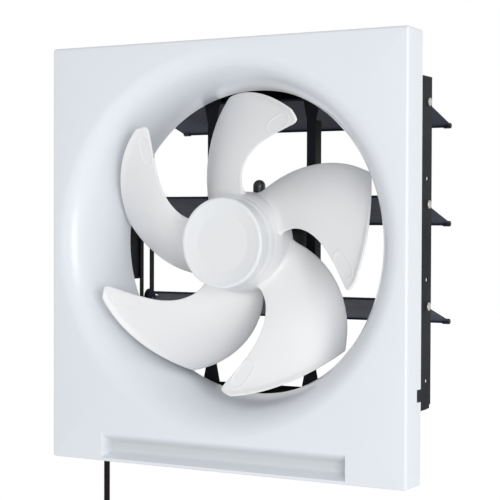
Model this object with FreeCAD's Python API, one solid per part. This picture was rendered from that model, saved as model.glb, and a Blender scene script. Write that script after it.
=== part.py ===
"""Wall exhaust fan: moulded front panel, propeller, motor on stays, sheet frame and shutter louvres.

Millimetres. X points right seen from the room, Y points with the air through the wall, Z points up.
The origin is on the fan axis, in the wall plane that the panel's rear rim and the flange touch.
"""
import FreeCAD, Part
import math
import os

V = FreeCAD.Vector
X_AXIS = V(1, 0, 0)
Y_AXIS = V(0, 1, 0)
Z_AXIS = V(0, 0, 1)

# Cuts run past the face that they open by this much
overrun = 4.0
# Gap at a running pin and at pieces that only pass each other
pin_clearance = 0.08
side_clearance = 0.6

# Front panel
panel_width = 398.0
panel_height = 425.0
panel_depth = 34.5
panel_wall = 2.6
panel_edge_radius = 3.0
axis_rise = 12.6
bell_side_margin = 7.5
bell_roll = 36.2
bell_depth = 75.5
throat_straight = 5.5
bell_wall = 2.4
scoop_width = 275.0
scoop_height = 26.7
scoop_depth = 11.5
scoop_bevel = 5.0
scoop_foot = 3.8
side_notch_depth = 10.0
side_notch_height = 12.0
side_notch_slant = 2.0
side_notch_drop = 146.5

# Propeller and spinner
propeller_tip_gap = 5.3
blade_count = 5
blade_root_radius = 48.3
blade_depth = 72.3
blade_front = 0.8
blade_thickness = 2.4
first_blade_angle = 55.7
blade_radius_shares = (0.0, 0.167, 0.333, 0.5, 0.667, 0.833, 0.94, 1.0)
lead_turn_shares = (0.392, 0.407, 0.345, 0.239, 0.12, 0.022, -0.015, 0.04)
trail_turn_shares = (1.272, 1.147, 1.035, 0.929, 0.825, 0.72, 0.647, 0.606)
lead_depth_shares = (0.555, 0.483, 0.404, 0.318, 0.227, 0.126, 0.051, 0.026)
trail_depth_shares = (0.819, 0.909, 0.968, 0.999, 1.0, 0.971, 0.936, 0.917)
chord_shares = (0.0, 0.2, 0.4, 0.6, 0.8, 1.0)
lead_slope_share = 0.44
hub_front_radius = 45.5
hub_mid_radius = 49.8
hub_rear_radius = 51.5
hub_length = 40.7
hub_mid_share = 0.5
hub_wall = 3.0
hub_boss_radius = 11.0
hub_boss_length = 29.0
spinner_radius = 45.0
spinner_length = 14.7
spinner_front = 5.8
spinner_wall = 2.2
spinner_rim_radius = 2.0
spinner_dish_depth = 2.0
spinner_dish_radius = 28.0
spinner_slope_radius = 40.5
spinner_boss_radius = 9.0
spinner_thread_depth = 9.0

# Motor
shaft_radius = 4.0
drive_pin_radius = 1.5
drive_pin_length = 18.0
motor_radius = 50.0
motor_front = 30.0
motor_split = 47.5
motor_rear = 64.0
motor_wall = 1.5
bearing_radius = 11.0
bearing_width = 8.0
bearing_wall = 1.6
rear_bearing_width = 6.0
core_front = 38.5
core_rear = 56.0
core_gap = 0.2
air_gap = 0.5
core_bore_radius = 27.0
winding_height = 5.0
winding_inner_radius = 29.5
winding_gap = 3.5
ear_rise = 34.0
ear_thickness = 2.0
ear_radius = 6.5
motor_bush_radius = 5.5
screw_radius = 2.0
screw_head_radius = 3.6
screw_head_height = 2.4
lead_bush_radius = 6.4
lead_bush_height = 14.0
lead_bush_depth = 50.5

# Sheet frame in the wall
frame_side_gap = 10.7
frame_top_gap = 11.7
frame_rear_margin = 9.4
frame_sheet = 1.2
flange_width = 16.0
sill_height = 12.0
top_hem_height = 17.0
window_forward_reach = 15.6
window_lower_forward_reach = 49.1
window_rear_reach = 1.9
window_top_rise = 91.5
window_step_rise = 21.5
window_bottom_drop = 28.5
window_corner_radius = 7.0
ear_round_radius = 9.5
wood_screw_hole_radius = 2.5
wood_screw_forward = 2.1
wood_screw_pitch = 101.5
wood_screw_drop = 75.7
lower_corner_cut = 5.0

# Motor stays
stay_motor_gap = 3.0
stay_width = 10.0
stay_sheet = 1.6
stay_front = 53.0
stay_depth = 13.0
stay_foot_width = 27.0
stay_flare_height = 42.0

# Shutter louvres
louvre_pitch = 102.5
louvre_top_gap = 24.3
louvre_pivot_depth = 99.1
louvre_angle = 15.6
louvre_upper = 30.5
top_louvre_upper = 23.0
louvre_lower = 72.5
louvre_sheet = 1.0
louvre_notch_margin = 1.0
link_corner_width = 18.0
link_corner_margin = 2.0
louvre_hem = 2.5
louvre_names = ("top", "middle", "bottom")
tab_sheet = 1.5
tab_radius = 7.0
pivot_radius = 2.0
pivot_head_radius = 4.2
pivot_head_height = 2.5
buffer_radius = 3.0
buffer_length = 9.0
buffer_inset = 0.5
crank_length = 22.0
crank_angle = 35.5
crank_radius = 4.5
link_width = 6.0
link_thickness = 1.4
rivet_radius = 1.5
rivet_head_radius = 2.6
rivet_head_height = 0.5

# Terminal box, capacitor and panel clips
box_width = 38.0
box_height = 37.0
box_rear = 28.0
box_front = 15.0
box_wall = 2.0
box_cover_thickness = 2.0
block_width = 24.0
block_height = 14.0
block_depth = 16.0
capacitor_width = 34.0
capacitor_height = 24.0
capacitor_front = 6.0
capacitor_depth = 38.0
capacitor_edge_radius = 2.0
clip_width = 14.0
clip_sheet = 0.8
clip_reach = 14.0
clip_rise = 95.0
clip_gap = 0.3

# Power cord: a straight drop, then a tied coil of flat loops in two layers, then the plug
cord_diameter = 6.2
cord_side_gap = 16.5
cord_depth = -8.0
relief_collar_radius = 5.2
relief_collar_height = 4.0
relief_length = 26.0
relief_tip_radius = 4.0
coil_centre_height = -317.0
coil_mid_radius = 34.0
coil_loop_pitch = 7.8
coil_layer_pitch = 7.7
coil_turns_in = 2
coil_turns_out = 1.5
plug_tail = 26.0
plug_relief_length = 20.0
plug_width = 24.0
plug_thickness = 15.0
plug_height = 30.0
plug_edge_radius = 3.0
plug_pin_length = 17.0
plug_pin_width = 6.3
plug_pin_thickness = 1.5
plug_pin_spacing = 12.7
tie_height = 9.0
tie_thickness = 1.6
tie_slack = 0.5
cord_slot_width = 9.5
cord_slot_depth = 14.0

# Sizes that follow from those above
front_y = -panel_depth
bell_outer_radius = panel_width / 2 - bell_side_margin
throat_radius = bell_outer_radius - bell_roll
propeller_radius = throat_radius - propeller_tip_gap
panel_top = panel_height / 2 - axis_rise
panel_bottom = -panel_height / 2 - axis_rise
frame_half = throat_radius + frame_side_gap
frame_top_z = throat_radius + frame_top_gap
frame_depth = louvre_pivot_depth + frame_rear_margin
wall_inner = frame_half - frame_sheet
floor_inner = frame_top_z - frame_sheet
hub_front_y = front_y + spinner_front + spinner_length
hub_rear_y = hub_front_y + hub_length
boss_rear_y = hub_front_y + hub_boss_length
bearing_rear_y = motor_front + bearing_width
rear_bearing_y = motor_rear - rear_bearing_width
shaft_front_y = hub_front_y - spinner_thread_depth
shaft_rear_y = motor_rear
stay_rear = stay_front + stay_depth
stay_middle = motor_radius + stay_motor_gap + stay_width / 2
winding_outer_radius = motor_radius - motor_wall - winding_gap
louvre_first_rise = floor_inner - louvre_top_gap
pivot_heights = [louvre_first_rise - i * louvre_pitch for i in range(len(louvre_names))]
right_tab_outer = wall_inner - side_clearance
left_tab_outer = wall_inner - link_thickness - 2 * side_clearance
window_front = louvre_pivot_depth - window_forward_reach
window_lower_front = louvre_pivot_depth - window_lower_forward_reach
window_rear = louvre_pivot_depth + window_rear_reach
window_top = pivot_heights[-1] + window_top_rise
window_step = pivot_heights[-1] + window_step_rise
window_bottom = pivot_heights[-1] - window_bottom_drop
wood_screw_depth = louvre_pivot_depth - wood_screw_forward
cord_radius = cord_diameter / 2
cord_across = cord_side_gap - wall_inner


def block(x0, x1, y0, y1, z0, z1):
    """A box between two corners."""
    return Part.makeBox(x1 - x0, y1 - y0, z1 - z0, V(x0, y0, z0))


def rod(radius, start, end):
    """A round bar from one point to another."""
    run = end - start
    return Part.makeCylinder(radius, run.Length, start, run)


def prism(points, run):
    """A closed outline pushed along a vector."""
    wire = Part.makePolygon(list(points) + [points[0]])
    return Part.Face(wire).extrude(run)


def turned(edges):
    """A closed half profile, in X and Y, turned about the fan axis."""
    face = Part.Face(Part.Wire(Part.__sortEdges__(edges)))
    return face.revolve(V(0, 0, 0), Y_AXIS, 360)


def lines(points):
    """Straight edges through a row of points."""
    return [Part.makeLine(a, b) for a, b in zip(points, points[1:])]


def export(name, shape):
    """Write one piece and print its volume."""
    shape.exportStep("parts/%s.step" % name)
    print("%-24s solids %d valid %s volume %.1f" % (name, len(shape.Solids), shape.isValid(), shape.Volume))


def bell_arc(wall):
    """The rolled lip of the bell mouth, drawn in by a wall, from the face to the throat."""
    centre = V(bell_outer_radius, front_y + bell_depth, 0)
    face_point = V(bell_outer_radius, front_y + wall, 0)
    throat_point = V(throat_radius + wall, front_y + bell_depth, 0)
    lip = Part.Ellipse(face_point, throat_point, centre)
    return lip.toShape(0, math.pi / 2), face_point, throat_point


def bell_mouth():
    """The bell mouth: a rolled lip that runs into a straight throat."""
    inner, inner_face, inner_throat = bell_arc(0)
    outer, outer_face, outer_throat = bell_arc(bell_wall)
    end_y = front_y + bell_depth + throat_straight
    inner_end = V(throat_radius, end_y, 0)
    outer_end = V(throat_radius + bell_wall, end_y, 0)
    edges = [inner, outer]
    edges += lines([inner_throat, inner_end, outer_end, outer_throat])
    edges += lines([inner_face, outer_face])
    return turned(edges)


def scoop_cutter():
    """A shallow round-bottomed channel with bevelled ends, for the fingers."""
    low = panel_bottom + scoop_foot
    middle = low + scoop_height / 2
    half = scoop_height / 2
    bend = (half ** 2 + scoop_depth ** 2) / (2 * scoop_depth)
    centre_y = front_y + scoop_depth - bend
    reach = scoop_width / 2
    channel = rod(bend, V(-reach, centre_y, middle), V(reach, centre_y, middle))
    floor = reach - scoop_bevel
    bottom_y = front_y + scoop_depth
    outline = [V(-reach, front_y, low), V(reach, front_y, low),
               V(floor, bottom_y, low), V(-floor, bottom_y, low)]
    return channel.common(prism(outline, V(0, 0, scoop_height)))


def side_notch(side):
    """A finger notch in the rear rim of one side wall, slanted at its top."""
    low = -side_notch_drop
    high = low + side_notch_height
    outer = side * (panel_width / 2 + overrun)
    points = [V(outer, -side_notch_depth, low), V(outer, overrun, low),
              V(outer, overrun, high + side_notch_slant), V(outer, -side_notch_depth, high)]
    return prism(points, V(-side * (panel_wall + 2 * overrun), 0, 0))


def front_panel():
    """The moulded panel: a hollow tray with a round hole, a finger scoop and three rim notches."""
    half = panel_width / 2
    tray = block(-half, half, front_y, 0, panel_bottom, panel_top)
    rounded = [e for e in tray.Edges if e.CenterOfMass.y < -overrun]
    tray = tray.makeFillet(panel_edge_radius, rounded)
    inset = half - panel_wall
    hollow = block(-inset, inset, front_y + panel_wall, overrun,
                   panel_bottom + panel_wall, panel_top - panel_wall)
    tray = tray.cut(hollow)
    mouth = rod(bell_outer_radius, V(0, front_y - overrun, 0), V(0, front_y + panel_wall + overrun, 0))
    tray = tray.cut(mouth)
    reach = scoop_width / 2 + panel_wall
    low = panel_bottom + panel_wall
    high = panel_bottom + scoop_foot + scoop_height + panel_wall
    backing = block(-reach, reach, front_y + panel_wall, front_y + scoop_depth + panel_wall, low, high)
    tray = tray.fuse(backing).cut(scoop_cutter())
    for side in (-1, 1):
        tray = tray.cut(side_notch(side))
    slot_half = cord_slot_width / 2
    slot = block(cord_across - slot_half, cord_across + slot_half, -cord_slot_depth, overrun,
                 panel_bottom - overrun, panel_bottom + panel_wall + overrun)
    return tray.cut(slot).removeSplitter()


def blade_point(row, column):
    """A point of the blade's middle surface: a row is a radius, a column a share of the chord."""
    radius = blade_root_radius + blade_radius_shares[row] * (propeller_radius - blade_root_radius)
    pitch = 360.0 / blade_count
    share = chord_shares[column]
    turn = lead_turn_shares[row] + share * (trail_turn_shares[row] - lead_turn_shares[row])
    bow = lead_slope_share * share + (1 - lead_slope_share) * share ** 2
    depth = lead_depth_shares[row] + bow * (trail_depth_shares[row] - lead_depth_shares[row])
    angle = math.radians(first_blade_angle + turn * pitch)
    y = front_y + blade_front + depth * blade_depth
    return V(radius * math.cos(angle), y, radius * math.sin(angle))


def blade_normal(row, column):
    """The direction square to the blade's middle surface at a grid point."""
    rows = len(blade_radius_shares) - 1
    columns = len(chord_shares) - 1
    along = blade_point(min(row + 1, rows), column) - blade_point(max(row - 1, 0), column)
    across = blade_point(row, min(column + 1, columns)) - blade_point(row, max(column - 1, 0))
    normal = along.cross(across)
    return normal.normalize()


def blade_skin(side):
    """One face of the blade, half a thickness to one side of the middle surface."""
    grid = []
    for row in range(len(blade_radius_shares)):
        points = [blade_point(row, c) + blade_normal(row, c) * (side * blade_thickness / 2)
                  for c in range(len(chord_shares))]
        grid.append(points)
    skin = Part.BSplineSurface()
    skin.interpolate(grid)
    return skin


def skin_borders(skin):
    """The four border curves of a skin."""
    u0, u1, v0, v1 = skin.bounds()
    return [skin.uIso(u0), skin.uIso(u1), skin.vIso(v0), skin.vIso(v1)]


def propeller_blade():
    """One swept blade: two skins and the four edges between them."""
    front = blade_skin(-1)
    rear = blade_skin(1)
    faces = [front.toShape(), rear.toShape()]
    for a, b in zip(skin_borders(front), skin_borders(rear)):
        faces.append(Part.makeRuledSurface(a.toShape(), b.toShape()))
    shell = Part.makeShell(faces)
    shell.sewShape()
    blade = Part.makeSolid(shell)
    if blade.Volume < 0:
        blade.reverse()
    return blade


def propeller_hub():
    """A cup with a front wall and a bored boss, slotted at its rear for the drive pin."""
    mid_y = hub_front_y + hub_mid_share * hub_length
    inside_y = hub_front_y + hub_wall
    bore = shaft_radius + pin_clearance
    outline = [V(bore, hub_front_y, 0), V(hub_front_radius, hub_front_y, 0), V(hub_mid_radius, mid_y, 0),
               V(hub_rear_radius, hub_rear_y, 0), V(hub_rear_radius - hub_wall, hub_rear_y, 0),
               V(hub_mid_radius - hub_wall, mid_y, 0), V(hub_front_radius - hub_wall, inside_y, 0),
               V(hub_boss_radius, inside_y, 0), V(hub_boss_radius, boss_rear_y, 0),
               V(bore, boss_rear_y, 0)]
    cup = turned(lines(outline + [outline[0]]))
    reach = hub_boss_radius + overrun
    half = drive_pin_radius + pin_clearance
    slot = block(-reach, reach, boss_rear_y - 2 * drive_pin_radius, boss_rear_y + overrun, -half, half)
    return cup.cut(slot)


def propeller_blades():
    """The ring of blades, each cut off where it meets the hub's outside."""
    mid_y = hub_front_y + hub_mid_share * hub_length
    outline = [V(0, hub_front_y, 0), V(hub_front_radius, hub_front_y, 0), V(hub_mid_radius, mid_y, 0),
               V(hub_rear_radius, hub_rear_y, 0), V(0, hub_rear_y, 0)]
    envelope = turned(lines(outline + [outline[0]]))
    blade = propeller_blade().cut(envelope)
    blades = []
    for i in range(blade_count):
        copy = blade.copy()
        copy.rotate(V(0, 0, 0), Y_AXIS, i * 360.0 / blade_count)
        blades.append(copy)
    return Part.makeCompound(blades)


def spinner_nut():
    """The domed nut that holds the propeller: a dished cap with a threaded boss."""
    face_y = front_y + spinner_front
    dish_y = face_y + spinner_dish_depth
    rim = spinner_rim_radius
    inner = spinner_radius - spinner_wall
    rim_start = V(spinner_radius - rim, face_y, 0)
    rim_end = V(spinner_radius, face_y + rim, 0)
    quarter = math.sqrt(0.5)
    rim_middle = V(spinner_radius - rim + rim * quarter, face_y + rim - rim * quarter, 0)
    inside_y = dish_y + spinner_wall
    thread_y = hub_front_y - spinner_thread_depth
    edges = [Part.Arc(rim_start, rim_middle, rim_end).toShape()]
    edges += lines([rim_end, V(spinner_radius, hub_front_y, 0), V(inner, hub_front_y, 0),
                    V(inner, inside_y, 0), V(spinner_boss_radius, inside_y, 0),
                    V(spinner_boss_radius, hub_front_y, 0),
                    V(shaft_radius, hub_front_y, 0), V(shaft_radius, thread_y, 0), V(0, thread_y, 0),
                    V(0, dish_y, 0), V(spinner_dish_radius, dish_y, 0), V(spinner_slope_radius, face_y, 0),
                    rim_start])
    return turned(edges)


def motor_shaft():
    """The motor shaft, drilled across for the drive pin."""
    bar = rod(shaft_radius, V(0, shaft_front_y, 0), V(0, shaft_rear_y, 0))
    return bar.cut(drive_pin())


def drive_pin():
    """The cross pin that turns the propeller."""
    pin_y = boss_rear_y - drive_pin_radius
    half = drive_pin_length / 2
    return rod(drive_pin_radius, V(-half, pin_y, 0), V(half, pin_y, 0))


def rotor_core():
    """The rotor, pressed on the shaft inside the stator's bore."""
    start, end = V(0, core_front, 0), V(0, core_rear, 0)
    return rod(core_bore_radius - air_gap, start, end).cut(rod(shaft_radius, start, end))


def ring(outer, inner, y0, y1):
    """A plain ring about the fan axis."""
    start, end = V(0, y0, 0), V(0, y1, 0)
    return rod(outer, start, end).cut(rod(inner, start, end))


def motor_front_shell():
    """The front half of the motor case, with a bearing pocket inside its front plate."""
    case = ring(motor_radius, motor_radius - motor_wall, motor_front, motor_split)
    plate = ring(motor_radius, bearing_radius, motor_front, motor_front + motor_wall)
    pocket = ring(bearing_radius + bearing_wall, bearing_radius, motor_front, bearing_rear_y)
    return case.fuse(plate).fuse(pocket).removeSplitter()


def ear_places():
    """The four places where the motor's ears meet the stays."""
    return [(sx * stay_middle, sz * ear_rise) for sx in (-1, 1) for sz in (-1, 1)]


def motor_rear_shell():
    """The rear half of the motor case, with four ears and a pocket for the rear bearing."""
    case = ring(motor_radius, motor_radius - motor_wall, motor_split, motor_rear)
    plate = ring(motor_radius, bearing_radius, motor_rear - motor_wall, motor_rear)
    pocket = ring(bearing_radius + bearing_wall, bearing_radius, rear_bearing_y, motor_rear)
    case = case.fuse(plate).fuse(pocket)
    root = motor_radius - motor_wall / 2
    for x, z in ear_places():
        side = math.copysign(1, x)
        ear_rear = motor_split + ear_thickness
        lug = rod(ear_radius, V(x, motor_split, z), V(x, ear_rear, z))
        foot_x = side * math.sqrt(root ** 2 - (ear_rise + ear_radius) ** 2)
        low, high = sorted((foot_x, x))
        lug = lug.fuse(block(low, high, motor_split, ear_rear, z - ear_radius, z + ear_radius))
        inside = rod(root, V(0, motor_split - overrun, 0), V(0, motor_rear, 0))
        lug = lug.cut(inside)
        hole = rod(screw_radius, V(x, motor_split - overrun, z), V(x, motor_rear, z))
        case = case.fuse(lug).cut(hole)
    outlet = rod(lead_bush_radius / 2, V(0, lead_bush_depth, 0),
                 V(0, lead_bush_depth, motor_radius + overrun))
    return case.cut(outlet).removeSplitter()


def stator_winding():
    """The two end turns of the winding, each a rounded ring against the core."""
    ends = []
    for start in (core_front - winding_height, core_rear):
        end = ring(winding_outer_radius, winding_inner_radius, start, start + winding_height)
        ends.append(end.makeFillet(winding_height / 3, end.Edges))
    return Part.makeCompound(ends)


def motor_bushes():
    """Rubber bushes between the motor's ears and the stays."""
    start_y = motor_split + ear_thickness
    bushes = []
    for x, z in ear_places():
        start, end = V(x, start_y, z), V(x, stay_front, z)
        bushes.append(rod(motor_bush_radius, start, end).cut(rod(screw_radius, start, end)))
    return Part.makeCompound(bushes)


def screw(point, inward, length):
    """A pan-head screw: the head stands on the point, the shank goes inward."""
    head = rod(screw_head_radius, point - inward * screw_head_height, point)
    middle = point - inward * (screw_head_height / 2)
    crown = [e for e in head.Edges if e.Closed and (e.CenterOfMass - middle).dot(inward) < 0]
    head = head.makeFillet(screw_head_height / 2, crown)
    return head.fuse(rod(screw_radius, point, point + inward * length)).removeSplitter()


def motor_screws():
    """Screws through the ears and bushes into the stays."""
    length = stay_front + stay_sheet - motor_split + screw_radius
    return Part.makeCompound([screw(V(x, motor_split, z), Y_AXIS, length) for x, z in ear_places()])


def lead_bush():
    """The domed bush over the motor's lead outlet, seated on the round case."""
    top = motor_radius + lead_bush_height
    body = rod(lead_bush_radius, V(0, lead_bush_depth, 0), V(0, lead_bush_depth, top - lead_bush_radius))
    dome = Part.makeSphere(lead_bush_radius, V(0, lead_bush_depth, top - lead_bush_radius))
    case = rod(motor_radius, V(0, motor_front, 0), V(0, motor_rear + overrun, 0))
    return body.fuse(dome).cut(case).removeSplitter()


def motor_stay(side):
    """One upright channel that carries the motor, flared to a foot at each end."""
    half = stay_width / 2
    foot = stay_foot_width / 2
    top = floor_inner
    waist = top - stay_flare_height
    outline = [(-foot, top), (foot, top), (half, waist), (half, -waist), (foot, -top), (-foot, -top),
               (-half, -waist), (-half, waist)]
    points = [V(side * stay_middle + x, stay_front, z) for x, z in outline]
    bar = prism(points, V(0, stay_sheet, 0))
    for edge in (-half, half - stay_sheet):
        left = side * stay_middle + edge
        bar = bar.fuse(block(left, left + stay_sheet, stay_front, stay_rear, -waist, waist))
    middle = side * stay_middle
    for end in (-1, 1):
        low, high = sorted((end * top, end * (top - stay_sheet)))
        bar = bar.fuse(block(middle - foot, middle + foot, stay_front, stay_rear, low, high))
        screw_y = (stay_front + stay_sheet + stay_rear) / 2
        bar = bar.cut(rod(screw_radius, V(middle, screw_y, 0), V(middle, screw_y, end * (top + overrun))))
    for x, z in ear_places():
        if x * side > 0:
            bar = bar.cut(rod(screw_radius, V(x, stay_front - overrun, z), V(x, stay_front + overrun, z)))
    return bar.removeSplitter()


def stay_screw_places():
    """The four places where the stays are screwed to the frame."""
    screw_y = (stay_front + stay_sheet + stay_rear) / 2
    return [(side * stay_middle, screw_y, end) for side in (-1, 1) for end in (-1, 1)]


def stay_screws():
    """Screws through the stays' feet into the frame's top and floor."""
    length = stay_sheet + frame_sheet + screw_radius
    seat = floor_inner - stay_sheet
    return Part.makeCompound([screw(V(x, y, end * seat), V(0, 0, end), length)
                              for x, y, end in stay_screw_places()])


def frame_plate(end):
    """The frame's top (end 1) or floor (end -1), a plain sheet between the sides."""
    low, high = sorted((end * floor_inner, end * frame_top_z))
    plate = block(-wall_inner, wall_inner, -frame_sheet, frame_depth, low, high)
    for x, y, place in stay_screw_places():
        if place == end:
            plate = plate.cut(rod(screw_radius, V(x, y, low - overrun), V(x, y, high + overrun)))
    return plate


def frame_top():
    """The top sheet with a hem turned down at its rear edge, behind the top louvre."""
    hem = block(-wall_inner, wall_inner, frame_depth - frame_sheet, frame_depth,
                floor_inner - top_hem_height, floor_inner)
    return frame_plate(1).fuse(hem).removeSplitter()


def frame_floor():
    """The floor sheet with a low sill turned up at its rear edge."""
    sill = block(-wall_inner, wall_inner, frame_depth - frame_sheet, frame_depth,
                 -floor_inner, -floor_inner + sill_height)
    return frame_plate(-1).fuse(sill).removeSplitter()


def side_window():
    """The cut-out in the left side: narrow above, wider below, round a pivot ear."""
    x = -frame_half - overrun
    depth = V(frame_sheet + 2 * overrun, 0, 0)
    outline = [(window_front, window_top), (window_rear, window_top),
               (window_rear, window_bottom), (window_lower_front, window_bottom),
               (window_lower_front, window_step), (window_front, window_step)]
    shape = prism([V(x, y, z) for y, z in outline], depth)
    corners = [e for e in shape.Edges if abs(e.tangentAt(e.FirstParameter).x) > math.sqrt(0.5)]
    shape = shape.makeFillet(window_corner_radius, corners)
    ear = V(x, louvre_pivot_depth, pivot_heights[-1])
    return shape.cut(rod(ear_round_radius, ear, ear + depth))


def frame_side(side):
    """One side sheet, with the pivot holes and the wood-screw holes; the left one has a window."""
    low, high = sorted((side * frame_half, side * wall_inner))
    sheet = block(low, high, -frame_sheet, frame_depth, -frame_top_z, frame_top_z)
    corner = [V(low, frame_depth, -frame_top_z), V(low, frame_depth, -frame_top_z + lower_corner_cut),
              V(low, frame_depth - 2 * lower_corner_cut, -frame_top_z)]
    sheet = sheet.cut(prism(corner, V(frame_sheet, 0, 0)))
    across = V(frame_sheet + 2 * overrun, 0, 0)
    for z in pivot_heights:
        start = V(low - overrun, louvre_pivot_depth, z)
        sheet = sheet.cut(rod(pivot_radius, start, start + across))
    for z in wood_screw_heights():
        start = V(low - overrun, wood_screw_depth, z)
        sheet = sheet.cut(rod(wood_screw_hole_radius, start, start + across))
    if side < 0:
        sheet = sheet.cut(side_window())
    return sheet


def wood_screw_heights():
    """Heights of the wood-screw holes in each side."""
    middle = pivot_heights[1] - wood_screw_drop
    return [middle + i * wood_screw_pitch for i in (-1, 0, 1)]


def wall_flange():
    """The flange that lies on the wall, a flat ring round the frame's front edge."""
    reach_x = frame_half + flange_width
    reach_z = frame_top_z + flange_width
    sheet = block(-reach_x, reach_x, -frame_sheet, 0, -reach_z, reach_z)
    return sheet.cut(block(-frame_half, frame_half, -overrun, overrun, -frame_top_z, frame_top_z))


def panel_clips():
    """Leaf clips on the flange that hold the panel's side walls."""
    leaf_outer = panel_width / 2 - panel_wall - clip_gap
    clips = []
    for side in (-1, 1):
        for z in (-clip_rise, clip_rise):
            seat = -frame_sheet
            base = block(frame_half, leaf_outer, seat - clip_sheet, seat, z, z + clip_width)
            leaf = block(leaf_outer - clip_sheet, leaf_outer, seat - clip_reach, seat, z, z + clip_width)
            clip = base.fuse(leaf).removeSplitter()
            if side < 0:
                clip = clip.mirror(V(0, 0, 0), X_AXIS)
            clips.append(clip)
    return Part.makeCompound(clips)


def louvre_frame(pivot_z):
    """Chord and upward directions of an open louvre, and its pivot point at mid-width."""
    lean = math.radians(louvre_angle)
    chord = V(0, math.cos(lean), -math.sin(lean))
    upward = V(0, math.sin(lean), math.cos(lean))
    return V(0, louvre_pivot_depth, pivot_z), chord, upward


def crank_point(pivot_z):
    """Where the link is pinned to a louvre: forward of the pivot and below it."""
    drop = math.radians(crank_angle)
    return V(0, louvre_pivot_depth - crank_length * math.cos(drop), pivot_z - crank_length * math.sin(drop))


def louvre_blade(pivot_z):
    """One louvre: a hemmed sheet, one corner cut for the link, notched and eared at its pivots."""
    pivot, chord, upward = louvre_frame(pivot_z)
    left = -left_tab_outer
    right = right_tab_outer
    width = V(right - left, 0, 0)
    upper = top_louvre_upper if pivot_z == pivot_heights[0] else louvre_upper
    base = pivot + V(left, 0, 0) + upward * (louvre_sheet / 2)
    hem = upward * -louvre_hem
    skin = upward * -louvre_sheet
    front = base - chord * upper
    rear = base + chord * louvre_lower
    sheet = prism([front, rear, rear + skin, front + skin], width)
    lip = chord * louvre_sheet
    sheet = sheet.fuse(prism([front, front + lip, front + lip + hem, front + hem], width))
    sheet = sheet.fuse(prism([rear, rear - lip, rear - lip + hem, rear + hem], width))
    corner = base - V(overrun, 0, 0) - chord * (tab_radius + link_corner_margin)
    ahead = chord * -(upper + overrun)
    corner_points = [corner - hem, corner - hem + ahead, corner + 2 * hem + ahead, corner + 2 * hem]
    sheet = sheet.cut(prism(corner_points, V(link_corner_width + overrun, 0, 0)))
    for side, outer in ((-1, left), (1, right)):
        sheet = sheet.cut(louvre_notch(pivot, chord, upward, outer, side))
        sheet = sheet.fuse(louvre_ear(pivot, pivot_z, outer, side))
    return sheet.removeSplitter()


def louvre_notch(pivot, chord, upward, outer, side):
    """The cut in the sheet's end that leaves room for a pivot pin."""
    half = chord * (pivot_radius + louvre_notch_margin)
    depth = side * (tab_sheet + side_clearance + louvre_notch_margin)
    start = pivot + V(outer + side * overrun, 0, 0)
    rise = upward * louvre_sheet
    across = V(-depth - side * overrun, 0, 0)
    low = start - rise
    high = start + rise
    return prism([low - half, low + half, high + half, high - half], across)


def louvre_ear(pivot, pivot_z, outer, side):
    """The ear that a pivot pin turns in; the left ear has a crank arm for the link."""
    start = pivot + V(outer, 0, 0)
    across = V(-side * tab_sheet, 0, 0)
    ear = rod(tab_radius, start, start + across)
    if side < 0:
        pin = crank_point(pivot_z) + V(outer, 0, 0)
        arm = (pin - start).normalize()
        square = V(0, -arm.z, arm.y) * crank_radius
        ear = ear.fuse(rod(crank_radius, pin, pin + across))
        ear = ear.fuse(prism([start - square, pin - square, pin + square, start + square], across))
        ear = ear.cut(rod(rivet_radius + pin_clearance, pin - across, pin + across * 2))
    return ear.cut(rod(pivot_radius + pin_clearance, start - across, start + across * 2))


def louvre_buffers(pivot_z):
    """Two rubber beads slipped over the lower corners of one louvre."""
    pivot, chord, upward = louvre_frame(pivot_z)
    rear = pivot + chord * (louvre_lower - buffer_inset)
    blade = louvre_blade(pivot_z)
    beads = []
    for x in (-left_tab_outer, right_tab_outer - buffer_length):
        start = rear + V(x, 0, 0)
        bead = rod(buffer_radius, start, start + V(buffer_length, 0, 0))
        rims = [e for e in bead.Edges if e.Closed and e.Length > buffer_radius]
        beads.append(bead.makeFillet(buffer_radius / 2, rims).cut(blade))
    return Part.makeCompound(beads)


def pivot_pins(side):
    """Shouldered pivot pins through one side of the frame, a head outside and the tip in the louvre."""
    inner = right_tab_outer if side > 0 else left_tab_outer
    tip = inner - tab_sheet - side_clearance
    pins = []
    for z in pivot_heights:
        start = V(side * frame_half, louvre_pivot_depth, z)
        pin = rod(pivot_radius, start, V(side * tip, louvre_pivot_depth, z))
        head = rod(pivot_head_radius, start, start + V(side * pivot_head_height, 0, 0))
        middle = frame_half + pivot_head_height / 2
        crown = [e for e in head.Edges if e.Closed and abs(e.CenterOfMass.x) > middle]
        head = head.makeFillet(pivot_head_height / 2, crown)
        pins.append(pin.fuse(head).removeSplitter())
    return Part.makeCompound(pins)


def link_planes():
    """The inner and outer X of the shutter link, between the left tabs and the left side."""
    outer = -wall_inner + side_clearance
    return outer + link_thickness, outer


def shutter_link():
    """The flat bar that joins the three louvres at their left cranks."""
    inner, outer = link_planes()
    across = V(inner - outer, 0, 0)
    top = crank_point(pivot_heights[0]) + V(outer, 0, 0)
    bottom = crank_point(pivot_heights[-1]) + V(outer, 0, 0)
    half = V(0, link_width / 2, 0)
    bar = prism([top - half, top + half, bottom + half, bottom - half], across)
    for end in (top, bottom):
        bar = bar.fuse(rod(link_width / 2, end, end + across))
    for z in pivot_heights:
        pin = crank_point(z) + V(outer, 0, 0)
        bar = bar.cut(rod(rivet_radius, pin - across, pin + across * 2))
    return bar.removeSplitter()


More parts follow.
